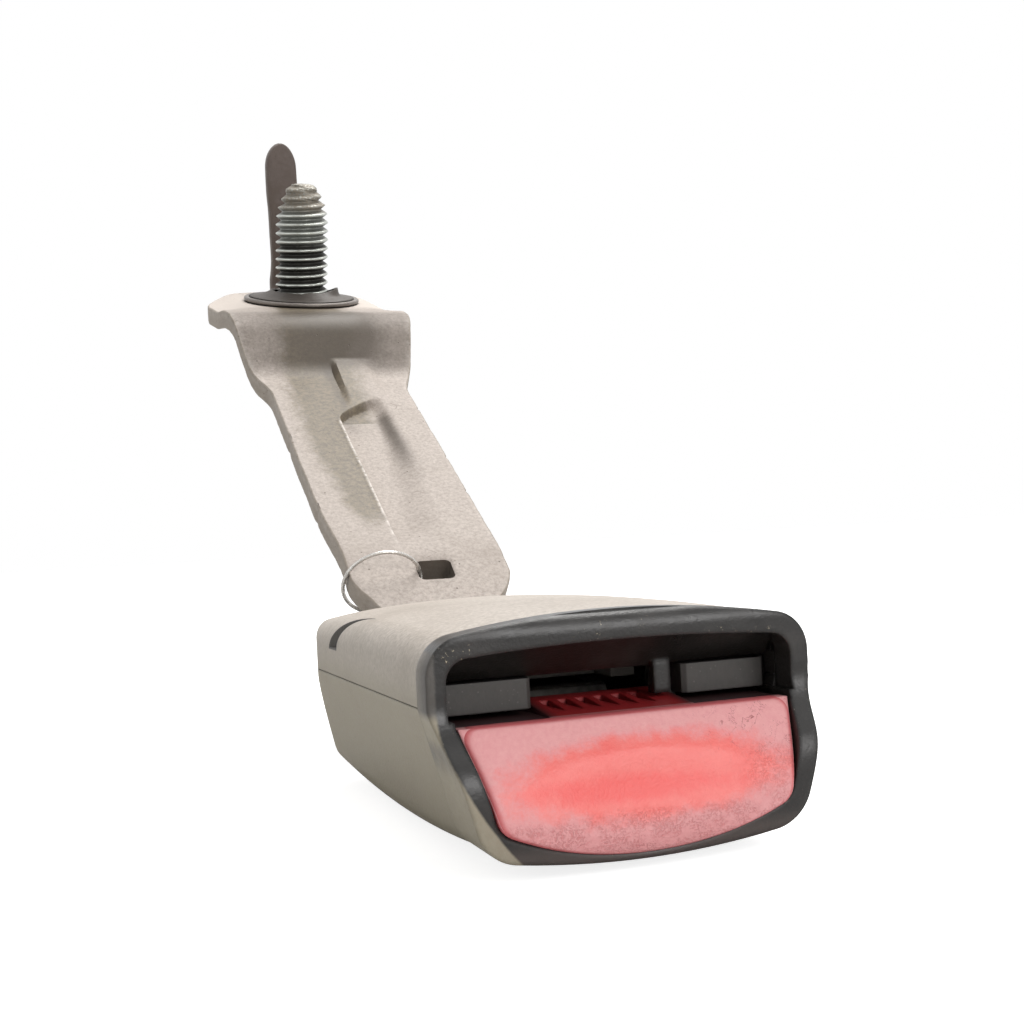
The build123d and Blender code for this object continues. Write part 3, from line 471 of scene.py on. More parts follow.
# %% Bezel plastic
def bezel_plastic():
    """Near-black plastic, rubbed and chipped at the lip, with painted highlights on its edges,
    and painted on the flanks.
    """
    f = Finish("bezel_plastic", specular=0.5)
    x, y, z = f.axis("X"), f.axis("Y"), f.axis("Z")
    rub = f.noise(6.0, detail=4, rough=0.6)
    base = f.blend(f.noise(0.5, detail=3, rough=0.6), linear("151413"), linear("24211F"))
    base = f.over(base, "34302D", f.band(rub, 0.45, 0.8, 0.0, 0.6))
    base = f.over(base, "4A423E", f.band(z, -13.2, -15.2), 0.8)
    base = f.over(base, "B9AC93", chips_on_lip(f, x, y, z), 0.9)
    # painted highlight: pale glints on the edges
    painted_glints = f.times(f.band(f.noise(0.4, detail=3, rough=0.8), 0.62, 0.72), f.rim(1.2))
    base = f.over(base, "A59C8E", painted_glints, 0.6)
    painted = painted_flank(f, x, z)
    rubbed = f.times(f.band(z, -1.6, -0.4), f.band(y, 6.5, 0.5, 0.35, 0.95))
    base = f.blend(painted, base, f.over(cover_colour(f)[1], "45423F", rubbed))
    rough = f.calc("ADD", f.band(rub, 0.3, 0.7, 0.27, 0.42), f.times(painted, 0.18))
    skin = f.bumps(f.noise(0.38, detail=2, rough=0.6), 0.035, f.rounded(0.8))
    return f.wear(base, rough, skin)


# %% [markdown]
# ## Button plastic
#
# The button is red plastic that thumbs and sunlight have chalked.  The dish in
# its middle is kept polished by thumbs, so there the red is still clear, and
# round it the surface has gone pale and pink with a fine net of cracks.  The
# colour is therefore painted from two ellipses in the button's own X and Z, whose
# edges are broken up with noise.  A hair crack is where a twisted noise
# crosses one value, which gives long curves that never form closed little cells.

# %% Polish, crumbs and hair cracks
def polished(f, x, z):
    """1 where thumbs keep the red clear, and 1 in the deeper red at its middle."""
    worn = f.oval((x, 0.4, 16.8), (z, -8.5, 4.4))
    tilted = f.calc("SUBTRACT", z, f.times(x, -0.03))
    deep = f.oval((x, -1.5, 13.0), (tilted, -9.4, 1.7))
    return (f.band(f.ragged(worn, 2.4, 0.7), 1.12, 0.68),
            f.band(f.ragged(deep, 1.8, 1.0), 1.15, 0.35))


def crumbled(f, x, z):
    """Crumbs of chalked plastic along the foot and at the right end."""
    right_end = f.times(f.band(x, 9.0, 14.0), f.band(z, -5.0, -8.0), 0.8)
    foot = f.calc("MAXIMUM", f.band(f.ragged(z, 2.0, 2.0), -11.0, -12.6), right_end)
    crumbs = f.band(f.noise(0.22, detail=2, rough=0.7), 0.47, 0.60)
    return f.times(crumbs, f.band(f.noise(1.4, detail=3), 0.30, 0.55), foot)


def hair_cracks(f, x, z):
    """Long thin cracks near the upper right corner, where twisted noise crosses 0.5."""
    corner = f.times(f.band(x, 4.0, 13.0), f.band(z, -10.5, -4.0))
    twisted = f.noise(2.6, detail=4, rough=0.62, twist=1.2)
    line = f.band(f.calc("ABSOLUTE", f.calc("SUBTRACT", twisted, 0.5)), 0.010, 0.002)
    return f.times(line, corner, f.band(f.noise(1.7), 0.42, 0.55))


# %% Button plastic
SHELF_FROM_Y, SHELF_DARK_X = 1.2, 6.5      # the deck behind the face, and its dark ends


def button_plastic():
    """Chalked pink round a clear red dish, with a dark red deck behind the face."""
    f = Finish("button_plastic", specular=0.5)
    x, z, y = f.axis("X"), f.axis("Z"), f.axis("Y")
    chalk = f.noise(0.5, detail=4, rough=0.7)
    pale = f.blend(chalk, linear("DA8E90"), linear("EAACAC"))
    clear = f.blend(f.noise(3.0, detail=4, rough=0.6), linear("EA5B55"), linear("EF7A73"))
    worn, deep = polished(f, x, z)
    base = f.over(f.blend(worn, pale, clear), "E9423D", deep, 0.75)
    crumbs = crumbled(f, x, z)
    base = f.over(base, "CB6A68", crumbs, 0.42)
    base = f.over(base, "8A3436", hair_cracks(f, x, z), 0.75)
    dark_end = f.band(f.calc("ABSOLUTE", x), SHELF_DARK_X, SHELF_DARK_X + 2.0)
    shelf = f.blend(dark_end, linear("8E1A1E"), linear("2A1012"))
    base = f.blend(f.band(y, SHELF_FROM_Y, SHELF_FROM_Y + 1.0), base, shelf)
    base = f.over(base, "CF5B60", f.attribute("edge"), 0.85)
    rough = f.band(worn, 0.0, 1.0, 0.54, 0.34)
    chalky = f.calc("ADD", f.noise(0.34, detail=3, rough=0.65), f.times(crumbs, -0.9))
    return f.wear(base, rough, f.bumps(chalky, 0.05, f.rounded(0.55)))


# %% [markdown]
# ## Guide and ejector plastic
#
# Two blocks either side of the tongue steer it into the mechanism.  They are
# unpainted glass-filled nylon, a dull dark grey with pale flecks of fibre.
# The ejector behind them is the same material in natural colour.

# %% Guide plastic
def nylon(name, dark, pale):
    """Filled nylon between two colours, with fibre flecks and painted shade in inner corners.
    """
    f = Finish(name, specular=0.4)
    fibre = f.noise(0.7, detail=4, rough=0.7, stretch=(1.0, 1.0, 2.0))
    base = f.blend(fibre, linear(dark), linear(pale))
    base = f.over(base, "A7A29B", f.band(f.cells(0.8), 0.16, 0.08), 0.12)
    # painted shade: dark in the inner corners
    base = f.over(base, "1B1918", f.corner_shade(2.5))
    skin = f.bumps(fibre, 0.03, f.rounded(0.25))
    return f.wear(base, f.band(fibre, 0.2, 0.8, 0.45, 0.6), skin)


# %% [markdown]
# ## Steels
#
# The stampings inside are bright zinc-plated steel, drawn along Y, so their
# grain is a noise stretched along that axis.  Springs are the same idea with
# a darker, smoother skin.  The stud's washer and the wire ring have their own
# two colours from the same function.

# %% Plain steels
EVEN = (1, 1, 1)      # a grain with no direction


def steel(name, dark, pale, roughness, grain=(1.0, 9.0, 1.0), metal=0.85, edge=0.25):
    """Steel between two colours, with its grain stretched along one axis."""
    f = Finish(name, metallic=metal)
    streak = f.noise(0.6, detail=4, rough=0.6, stretch=grain)
    base = f.blend(streak, linear(dark), linear(pale))
    base = f.over(base, dark, f.band(f.noise(7.0, detail=3), 0.5, 0.8, 0.0, 0.4))
    rough = f.band(streak, 0.2, 0.8, roughness - 0.08, roughness + 0.1)
    return f.wear(base, rough, f.bumps(streak, 0.02, f.rounded(edge)))


# %% Finish every CAD node that keeps its shape
finishes = {
    "cover_plastic": cover_plastic(),
    "bezel_plastic": bezel_plastic(),
    "button_plastic": button_plastic(),
    "guide_plastic": nylon("guide_plastic", "3A3836", "524F4C"),
    "ejector_plastic": nylon("ejector_plastic", "8E8B84", "A9A69D"),
    "frame_steel": steel("frame_steel", "6E6C68", "A09D97", 0.38),
    "spring_steel": steel("spring_steel", "5C5A57", "8F8C87", 0.3, grain=EVEN),
    "dark_steel": steel("dark_steel", "3F3936", "6A625C", 0.42, grain=EVEN, metal=0.6),
    "collar_rubber": nylon("collar_rubber", "38332F", "5C554F"),
    "strap_steel": None,
    "bolt_steel": None,
}
ring_wire = steel("ring_wire", "B5B1AC", "E4E1DC", 0.22, EVEN, metal=0.7, edge=0.1)
washer_steel = steel("washer_steel", "625C57", "8C857F", 0.40, EVEN, metal=0.45, edge=0.5)
for entry in frame["record"]["subparts"]:
    node = entry.get("node") or entry.get("name")
    finish = finishes.get(entry["material_slot"])
    if finish is None:
        continue
    if node == "flat_washer":
        finish = washer_steel
    for slot in range(len(nodes[node].data.materials)):
        nodes[node].data.materials[slot] = finish
print(sum(1 for f in finishes.values() if f), "finishes on the CAD nodes")

# %% [markdown]
# ## From a grid of points to a piece
#
# Every piece made here is a grid: rows along the piece, columns across it.
# A grid could be stitched by a modifier, but it is simpler to write the faces
# down.  The signed volume of the closed mesh tells whether they look outwards:
# if it is negative, every face is turned round.

# %% Mesh helpers
def grid_faces(rows, columns, closed_rows=False):
    """Four-cornered faces of a grid whose columns run all the way round the piece."""
    r = np.arange(rows if closed_rows else rows - 1)
    r0, c0 = np.meshgrid(r, np.arange(columns), indexing="ij")
    r1, c1 = (r0 + 1) % rows, (c0 + 1) % columns
    corners = [r0 * columns + c0, r0 * columns + c1, r1 * columns + c1, r1 * columns + c0]
    return np.stack(corners, axis=-1)


def tube_faces(grid, closed_rows=False):
    """The faces of a whole grid of points, as one list."""
    return grid_faces(*grid.shape[:2], closed_rows).reshape(-1, 4)


def volume(points, quads):
    """Volume inside the faces: the sum of tetrahedra from the origin to each triangle."""
    a, b, c, d = (points[quads[:, k]] for k in range(4))
    first = np.einsum("ij,ij->i", a, np.cross(b, c)).sum()
    second = np.einsum("ij,ij->i", a, np.cross(c, d)).sum()
    return (first + second) / 6


print("a tube of 3 rows and 4 columns has", grid_faces(3, 4).size // 4, "faces")

# %% From points and faces to a piece on its body
def make_piece(name, points, quads, body, node, finish, caps=(), sharp=35,
               values=None):
    """Puts points (mm) and faces into a mesh, smooths it, and attaches it to its body."""
    size = volume(points, quads)
    way = -1 if size < 0 else 1
    faces = quads[:, ::way].tolist() + [cap[::way].tolist() for cap in caps]
    mesh = bpy.data.meshes.new(name)
    mesh.from_pydata((points / 1000).tolist(), [], faces)
    mesh.validate()
    mesh.shade_smooth()
    mesh.set_sharp_from_angle(angle=radians(sharp))
    for key, numbers in (values or {}).items():
        layer = mesh.attributes.new(key, "FLOAT", "POINT")
        layer.data.foreach_set("value", numbers.astype(np.float32).ravel())
    mesh.materials.append(finish)
    obj = bpy.data.objects.new(name, mesh)
    scene.collection.objects.link(obj)
    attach(obj, body)
    if node:
        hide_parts(node)
    print(name, len(points), "points,", len(quads), "faces,", round(abs(size)), "mm3")
    return obj


print("mesh helpers ready")

# %% [markdown]
# ## Curves that shapes are made of
#
# Three small functions give nearly every form below: an S-shaped step from 0
# to 1, a bell-shaped hill, and a random line that wanders between -1 and 1.
# They take whole arrays, and the random one gives the same line each time.

# %% Steps, hills and wandering lines
WANDER_KNOTS = 400


def soft_step(value, low, high):
    """0 below low, 1 above high, an S-shaped rise between; swapped limits make it fall."""
    t = np.clip((value - low) / (high - low), 0, 1)
    return t * t * (3 - 2 * t)


def hill(value, centre, reach):
    """1 at the centre, falling to about a third one reach away, like a bell."""
    return np.exp(-((value - centre) / reach) ** 2)


def wander(value, pitch, seed):
    """A random zigzag between -1 and 1 whose waves are about pitch long."""
    knots = np.random.default_rng(seed).uniform(-1, 1, WANDER_KNOTS)
    return np.interp((value / pitch) % (WANDER_KNOTS - 1), np.arange(WANDER_KNOTS), knots)


print("half way up a soft step:", soft_step(0.5, 0, 1))


# %% [markdown]
# ## The strap's bent line
#
# The strap is one steel blank, 3.6 mm thick, bent in a press: flat in the
# housing, up at 40 degrees, then a long run at 31.5, a steep riser, and the
# almost flat flange that takes the stud.
# Each bend is an arc tangent to both of its straights, so the line is worked out
# from its corners: a corner is cut back by radius times the tangent of half
# the turn, and an arc of that radius joins the two cut ends.

# %% Straights joined by arcs
ARC_STEP = 0.1


def bent_line(corners, radii):
    """Points along straights that are joined by arcs tangent to both of them."""
    even = np.linspace(0, 1, 60)
    parts = [corners[0][None, :]]
    for before, corner, after, radius in zip(corners, corners[1:], corners[2:], radii):
        into = (corner - before) / np.linalg.norm(corner - before)
        out = (after - corner) / np.linalg.norm(after - corner)
        turn = np.arctan2(into[0] * out[1] - into[1] * out[0], into @ out)
        cut = radius * np.tan(abs(turn) / 2)
        start = corner - cut * into
        side = np.array([-into[1], into[0]]) * np.sign(turn)
        middle = start + radius * side
        angles = np.linspace(0, turn, max(4, int(abs(turn) * radius / ARC_STEP)))
        arm = start - middle
        cos, sin = np.cos(angles), np.sin(angles)
        arc = middle + np.stack([arm[0] * cos - arm[1] * sin, arm[0] * sin + arm[1] * cos], 1)
        straight = parts[-1][-1] + even[1:-1, None] * (start - parts[-1][-1])
        parts += [straight, arc]
    end = parts[-1][-1] + even[1:, None] * (corners[-1] - parts[-1][-1])
    return np.concatenate(parts + [end])


def crossing(a, slope_a, b, slope_b):
    """Where two lines meet, each given by a point and an angle in degrees."""
    ta, tb = np.tan(radians(slope_a)), np.tan(radians(slope_b))
    y = (a[1] - b[1] + tb * b[0] - ta * a[0]) / (tb - ta)
    return np.array([y, a[1] + ta * (y - a[0])])


def measure(path):
    """Distance along a path at each of its points, and the unit direction there."""
    gaps = np.linalg.norm(np.diff(path, axis=0), axis=1)
    distance = np.concatenate([[0], np.cumsum(gaps)])
    way = np.gradient(path, distance, axis=0)
    return distance, way / np.linalg.norm(way, axis=1)[:, None]


print("arcs get a point every", ARC_STEP, "mm")

# %% The strap's own line
PLATE = 3.6
BEND_RADIUS, HEAD_RADIUS = 9, 20.0
START_SLOPE, RUN_SLOPE, RISER_SLOPE, FLANGE_SLOPE = 40, 31.5, 65, 16.8
RISER_Y = 135.3
tail = np.array([44.5, 1.45])
crease = np.array([77.3, 14.5])
seat = np.array([162.8, 69.1])      # where the stud stands on the flange
flange_angle = radians(FLANGE_SLOPE)
along_flange = np.array([np.cos(flange_angle), np.sin(flange_angle)])
off_flange = np.array([-np.sin(flange_angle), np.cos(flange_angle)])
riser = crease + (RISER_Y - crease[0]) * np.array([1, np.tan(radians(RUN_SLOPE))])
line = bent_line([
    tail, crossing(tail, 0, crease, START_SLOPE), crease, riser,
    crossing(riser, RISER_SLOPE, seat, FLANGE_SLOPE), seat + HEAD_RADIUS * along_flange,
], [BEND_RADIUS] * 4)
run, heading = measure(line)


def on_line(s):
    """Y, Z of the strap's upper face and of its normal, at distance s along it."""
    y, z = np.interp(s, run, line[:, 0]), np.interp(s, run, line[:, 1])
    ny, nz = np.interp(s, run, -heading[:, 1]), np.interp(s, run, heading[:, 0])
    length = np.hypot(ny, nz)
    return y, z, ny / length, nz / length


def distance_at(y):
    """Distance along the strap where it first reaches a given Y."""
    return np.interp(y, line[:, 0], run)


s_seat = run[np.argmin(np.linalg.norm(line - seat, axis=1))]
print("strap blank is", round(run[-1], 1), "mm long, its stud sits at", round(s_seat, 1))

# %% [markdown]
# ## The strap's width
#
# The blank is narrow inside the housing, widens over a curved shoulder, keeps
# its width on the run, and flares at the riser into the round head.
# Half the width is therefore a function of the distance along the strap,
# put together from one short formula for each stretch.  A sheared edge is never
# quite straight, so a little wander and a few nicks are added, each side with
# its own.

# %% Width along the strap
NECK_HALF, SHOULDER_RISE = 7.0, 6.4            # half widths inside the housing and beyond
SHOULDER_FROM_Y, SHOULDER_TO_Y = 67.0, 73.4
FLARE_FROM_Y, FLARE_TO_Y, FLARE_RISE = 127.0, 143.0, 5.0
HEAD_FROM_Y, HEAD_LENGTH, HEAD_RISE = 141.5, 21.3, 1.7


def half_width(s):
    """Half the strap's width at each distance along it."""
    y = on_line(s)[0]
    to_go = np.clip((SHOULDER_TO_Y - y) / SHOULDER_RISE, 0, 1)
    shoulder = NECK_HALF + SHOULDER_RISE * (1 - to_go ** 1.5) ** 0.667
    flare = soft_step(y, FLARE_FROM_Y, FLARE_TO_Y) * FLARE_RISE
    head = np.clip((y - HEAD_FROM_Y) / HEAD_LENGTH, 0, 1) * HEAD_RISE
    width = np.where(y < SHOULDER_FROM_Y, NECK_HALF, shoulder) + flare + head
    past = np.clip(s - s_seat, 0, HEAD_RADIUS)
    circle = np.sqrt(np.maximum(HEAD_RADIUS ** 2 - past ** 2, 0.6))
    return np.where(s > s_seat, circle, width)


def left_cut(s):
    """How much narrower the blank is on its left, between the shoulder and the run."""
    y = on_line(s)[0]
    return 1.0 * soft_step(y, 67.5, 70) * (1 - soft_step(y, 77, 93))


def edge_wander(s, seed):
    """Unevenness of a sheared edge: slow waves, a fine ripple and a few nicks."""
    rough = 0.07 * wander(s, 5.0, seed) + 0.035 * wander(s, 0.9, seed + 1)
    nicks = sum(NICK_DEPTH * hill(s, place, 0.5) for place in NICKS[seed])
    past_housing = soft_step(s, 25, 30)
    before_head = 1 - soft_step(s, s_seat + 8, s_seat + 16)
    return (rough - nicks) * past_housing * before_head


RIGHT_SEED, LEFT_SEED, NICK_DEPTH = 3, 8, 0.35
NICKS = {RIGHT_SEED: distance_at(np.array([93.1, 104.0, 121.0])),
         LEFT_SEED: distance_at(np.array([91.0, 112.0]))}
print("half width at the stud is", round(float(half_width(np.array([s_seat]))[0]), 2), "mm")

# %% [markdown]
# ## Relief pressed into the strap
#
# Three forms are pressed into the sheet.  A long bead stiffens the run: its left
# wall is almost a step, its right wall rises softly and dies out towards the
# buckle.  A gusset bridges the inside of the riser's bend like a small ramp.
# And the flange's two corners droop.  Bead and droop are heights along the
# normal; the gusset moves points of the bend onto the straight chord across it.

# %% Bead and gusset
S_BEAD = float(distance_at(79.0))
S_GUSSET = distance_at(np.array([121.5, 136.7]))
BEAD_LEFT, BEAD_DEPTH, LIP_HEIGHT = -2.8, 1.35, 0.10


def bead_end(x):
    """Distance along the strap of the bead's far end, which slants to the right."""
    return distance_at(117.9 + 7.3 * np.clip((x - BEAD_LEFT) / 9.5, 0, 1) ** 0.6)


def bead_height(x, s):
    """Height of the sheet over its plane: down in the bead, a hair up on its left lip."""
    near, far = S_BEAD, bead_end(x)
    along = soft_step(s, near, near + 9) * (1 - soft_step(s, far - 1.1, far))
    progress = np.clip((s - near) / (far - near), 0, 1)
    left = soft_step(x, BEAD_LEFT, -2.15)
    right_from = 4.9 - 7.0 * (1 - progress) ** 1.2
    right = 1 - soft_step(x, right_from, right_from + 2.3 + 6.5 * (1 - progress))
    lip = LIP_HEIGHT * hill(x, -3.05, 0.35)
    return along * (lip - BEAD_DEPTH * left * right)


def gusset_share(x, s):
    """1 on the gusset's ramp, 0 beside it: its left flank is steep, its right one soft."""
    across = soft_step(x, -0.2, 0.9) * (1 - soft_step(x, 5.5, 10.0))
    near, far = S_GUSSET
    return across * ((s > near) & (s < far))


# %% Drooping corners and dents
CORNER_DROOP, RIGHT_DROOP, DENT_DEPTH = 1.2, 2.2, 0.045


def droop(x, s):
    """How far the flange's two corners hang below its plane, the right one further."""
    far = soft_step(on_line(s)[0], 148, 155)
    corner = RIGHT_DROOP * np.clip((x - 15.5) / 5.0, 0, 1) ** 2
    both = CORNER_DROOP * soft_step(-x, 12, 20) + CORNER_DROOP * soft_step(x, 12, 20.5)
    return far * (both + corner)


def dents(x, s):
    """Shallow waves that the press leaves on a thick sheet: sines crossing each other."""
    wave = np.sin(x * 0.42 + 1.3 * np.sin(s * 0.09)) * np.sin(s * 0.17 + 0.6)
    return DENT_DEPTH * wave * soft_step(s, 26, 34)


print("bead starts at", round(S_BEAD, 1), "and the gusset runs", np.round(S_GUSSET, 1))

# %% [markdown]
# ## The strap as one closed surface
#
# The outline of the strap's cross-section is carried along the bent line: the
# upper face, a rounded edge, the sheared side, the sharper lower edge, and back
# underneath.  Columns near the middle keep their X all along the strap, so
# that the bead and the hole stay straight, and only the outer ones follow the
# width.  The hole is cut by leaving out cells, after the grid round it has been
# pulled from a square to a square with round corners.

# %% Rows and columns of the strap
HOLE = dict(x=1.35, s=float(distance_at(74.0)), half=2.9, half_s=2.2, corner=1.1)
HOLE_CELLS = 12             # cells along each side of the hole
OUTER_COLUMNS = 9           # columns on each side that follow the strap's width
INNER_HALF = 6.8            # the straight columns lie within this X
LEFT_COLUMNS = [-INNER_HALF, -5.6, -4.5, -3.8, -3.4, -3.15, -2.95, -2.8, -2.65, -2.5, -2.35,
                -2.2, -2.0]
RIGHT_COLUMNS = [4.6, 5.0, 5.5, 6.0, 6.4, INNER_HALF]


def strap_rows():
    """Distances of the rows: closer at the shoulder, the bends and the ends."""
    coarse = np.arange(0, run[-1], 0.9)
    hole = HOLE["s"] + np.linspace(-HOLE["half_s"], HOLE["half_s"], HOLE_CELLS + 1)
    coarse = coarse[(coarse < hole[0] - 0.2) | (coarse > hole[-1] + 0.2)]
    shoulder = distance_at(SHOULDER_FROM_Y) + np.linspace(0, 6.5, 22)
    shoulder = shoulder[(shoulder < hole[0] - 0.2)]
    step = np.arange(distance_at(116.4), distance_at(126.4), 0.3)
    head = s_seat + HEAD_RADIUS * np.sin(np.linspace(0.7, np.pi / 2, 30))
    rows = np.concatenate([coarse[coarse < head[0]], hole, shoulder, step, S_GUSSET, head])
    rows = np.unique(np.round(rows, 3))
    return rows[np.concatenate([[True], np.diff(rows) > 0.02])]


def inner_columns():
    """X of the straight columns in the middle, gathered at the bead's edge and the hole."""
    hole = HOLE["x"] + np.linspace(-HOLE["half"], HOLE["half"], HOLE_CELLS + 1)
    return np.concatenate([LEFT_COLUMNS, hole, RIGHT_COLUMNS])


print(len(strap_rows()), "rows and", len(inner_columns()), "straight columns")

# %% Round corners for the hole, and points on the strap
def pull_corners(x, s):
    """Draws the grid towards the hole's middle where its square has round corners."""
    corner = HOLE["corner"] / HOLE["half"]
    a, b = (x - HOLE["x"]) / HOLE["half"], (s - HOLE["s"]) / HOLE["half_s"]
    q = np.maximum(np.maximum(abs(a), abs(b)), 1e-6)
    p, r = abs(a) / q, abs(b) / q
    near_corner = (p > 1 - corner) & (r > 1 - corner)
    dot = (1 - corner) * (p + r)
    length2 = p ** 2 + r ** 2
    rest = 2 * (1 - corner) ** 2 - corner ** 2
    root = np.sqrt(np.maximum(dot ** 2 - length2 * rest, 0))
    fit = np.where(near_corner, (dot + root) / length2, 1.0)
    pull = 1 - (1 - fit) * np.clip(2 - q, 0, 1)
    return HOLE["x"] + (x - HOLE["x"]) * pull, HOLE["s"] + (s - HOLE["s"]) * pull


def place_on_strap(x, s, height):
    """X, Y, Z of points at x across, s along and height over the upper face."""
    y, z, ny, nz = on_line(s)
    height = height - droop(x, s)
    share = gusset_share(x, s)
    near, far = S_GUSSET
    t = np.clip((s - near) / (far - near), 0, 1)
    (y0, y1), (z0, z1) = on_line(S_GUSSET)[:2]
    y = y + share * (y0 + t * (y1 - y0) - y)
    z = z + share * (z0 + t * (z1 - z0) - z)
    return np.stack([x, y + ny * height, z + nz * height], axis=-1)


# %% Strap surface
EDGE_RADIUS = 0.42          # the rolled-in upper edge of a sheared sheet


def upper_face(s, w, w_left):
    """X, distance and height of the upper face, with the bead, the dents and the hole."""
    limit = np.minimum(INNER_HALF, 0.86 * w)
    share = np.linspace(0, 1, OUTER_COLUMNS + 1)[1:]
    right = limit + (w - EDGE_RADIUS - limit) * share
    left = -(limit + (w_left - EDGE_RADIUS - limit) * share)[:, ::-1]
    across = np.concatenate([left, inner_columns() / INNER_HALF * limit, right], axis=1)
    along = np.broadcast_to(s, across.shape)
    bent, pushed = pull_corners(across, along)
    past_neck = w > NECK_HALF + 0.2
    across, along = np.where(past_neck, bent, across), np.where(past_neck, pushed, along)
    bead = np.where(past_neck, bead_height(across, along), 0)
    return across, along, bead + dents(across, along)


def sheared_edge():
    """How far in and how far up each point of a side lies, from the top down."""
    turn = radians(90) * np.array([0.25, 0.5, 0.75, 1.0])
    down = np.array([0.3, 0.5, 0.7, 0.88])
    inwards = np.concatenate([EDGE_RADIUS * (1 - np.sin(turn)), [0.0, 0.03, 0.06, 0.10], [0.2]])
    up = np.concatenate([-EDGE_RADIUS * (1 - np.cos(turn)), -PLATE * down, [-PLATE + 0.02]])
    return inwards, up


def strap_surface():
    """Points of the strap as a grid of rows along it and columns round its section."""
    s = strap_rows()[:, None]
    w = half_width(s)
    w_left = w - left_cut(s)
    across, along, relief = upper_face(s, w, w_left)
    edge_in, edge_up = sheared_edge()
    right_side = w + edge_wander(s, RIGHT_SEED) - edge_in
    left_side = -(w_left + edge_wander(s, LEFT_SEED) - edge_in[::-1])
    side_s = np.broadcast_to(s, right_side.shape)
    x = np.concatenate([across, right_side, across[:, ::-1], left_side], axis=1)
    height = np.concatenate([
        relief, np.broadcast_to(edge_up, right_side.shape), relief[:, ::-1] - PLATE,
        np.broadcast_to(edge_up[::-1], left_side.shape)], axis=1)
    where = np.concatenate([along, side_s, along[:, ::-1], side_s], axis=1)
    return x, where, height, across.shape[1], edge_in.size


strap_x, strap_s, strap_height, top_count, side_count = strap_surface()
strap_points = place_on_strap(strap_x, strap_s, strap_height)
rows, columns = strap_x.shape
print("strap grid:", rows, "rows of", columns, "points round the section")

# %% [markdown]
# ## Opening the hole and closing the ends
#
# The cells inside the hole are dropped from the upper and the lower face.  The
# two square rings of points that are left are then joined by the hole's wall.
# The wall gets its own copy of those points, so that it can carry its own painted shade.
# The punch draws the upper rim down a little and leaves the hole a little longer
# above than below, so its far wall leans.  At each end of the strap, the upper
# columns are joined to the lower ones, which closes the surface.

# %% Strap faces
RIM_DRAWN_DOWN, WALL_LEAN = 0.22, 0.8
hole_row = int(np.argmin(abs(strap_rows() - (HOLE["s"] - HOLE["half_s"]))))
hole_upper = OUTER_COLUMNS + len(LEFT_COLUMNS)
hole_lower = top_count + side_count + (top_count - 1 - hole_upper)
rim_count = 4 * HOLE_CELLS


def hole_rings():
    """Indices of the points round the hole above and below, and how far along each lies."""
    n, there = HOLE_CELLS, np.arange(HOLE_CELLS)
    zero, full, back = np.zeros(n, int), np.full(n, n), n - there
    r = np.concatenate([zero, there, full, back])
    c = np.concatenate([there, full, back, zero])
    first = (hole_row + r) * columns
    return first + hole_upper + c, first + hole_lower - c, r / n


def strap_faces():
    """Faces of the tube without the hole, the hole's wall, the ends, and their corners."""
    faces = grid_faces(rows, columns)
    keep = np.ones((rows - 1, columns), bool)
    hole = slice(hole_row, hole_row + HOLE_CELLS)
    keep[hole, hole_upper:hole_upper + HOLE_CELLS] = False
    keep[hole, hole_lower - HOLE_CELLS:hole_lower] = False
    above = rows * columns + np.arange(rim_count)
    below = above + rim_count
    wall = np.stack([above, np.roll(above, -1), np.roll(below, -1), below], axis=-1)
    up = np.arange(top_count - 1)
    low = top_count + side_count + top_count - 1 - up
    end = np.stack([up, low, low - 1, up + 1], axis=-1)
    last = (rows - 1) * columns
    quads = np.concatenate([faces[keep], wall[:, ::-1], end, last + end[:, ::-1]])
    right = np.arange(top_count - 1, top_count + side_count + 1)[::-1]
    left = (np.arange(-side_count - 1, 1) % columns)[::-1]
    return quads, [right, left, last + right[::-1], last + left[::-1]]


strap_quads, strap_corners = strap_faces()
hole_rim, under_rim, far_share = hole_rings()
strap_points = strap_points.reshape(-1, 3)
rim_y, rim_z = on_line(strap_s.reshape(-1)[hole_rim])[2:]
still = np.zeros(rim_count)
strap_points[hole_rim] -= RIM_DRAWN_DOWN * np.stack([still, rim_y, rim_z], axis=-1)
lean = WALL_LEAN * far_share[:, None]
strap_points[under_rim] -= lean * np.stack([still, rim_z, -rim_y], axis=-1)
both_rims = np.concatenate([hole_rim, under_rim])
strap_points = np.concatenate([strap_points, strap_points[both_rims]])
print("strap faces:", len(strap_quads), "and", len(strap_corners), "end corners")

# %% [markdown]
# ## Dirt, painted shade and a painted highlight on the strap
#
# The strap is zinc-phosphated: a matt, warm grey.  Oil has crept down its left
# half and gone olive, and soot and rust darken the riser.  Painted shade darkens
# the riser further, and the gully, the gusset's corner, the bead's far end and
# the hole.  The lip of the bead gets a painted highlight, and the sheared edges
# are a little paler.  These marks belong to places on the strap, not to a
# pattern, so each is a sum of soft hills in X and distance along, and is stored
# on the points.  The material only breaks up their borders with noise.

# %% Oil, soot, painted shade, a painted highlight and pale edges
def oil_on_strap(x, y):
    """Oil in a lane down the left, a patch on the riser, and a little beside the lane."""
    lane = -5.2 + 2.2 * soft_step(y, 90, 120) + 2.0 * soft_step(y, 128, 150)
    reach = 2.9 + 3.6 * soft_step(y, 84, 118)
    down = soft_step(y, 79, 92) * (1 - soft_step(y, 158, 164))
    oil = np.exp(-((x - lane) / reach) ** 2) * down
    oil = np.maximum(oil, 0.9 * hill(x, 0.0, 9.0) * hill(y, 143.0, 5.5))
    upper_end = soft_step(y, 95, 108) * (1 - soft_step(y, 150, 156))
    oil = oil + 0.35 * hill(x, lane, reach) * upper_end
    return oil * np.where((x > -2.9) & (y < 118), 0.15, 1.0)


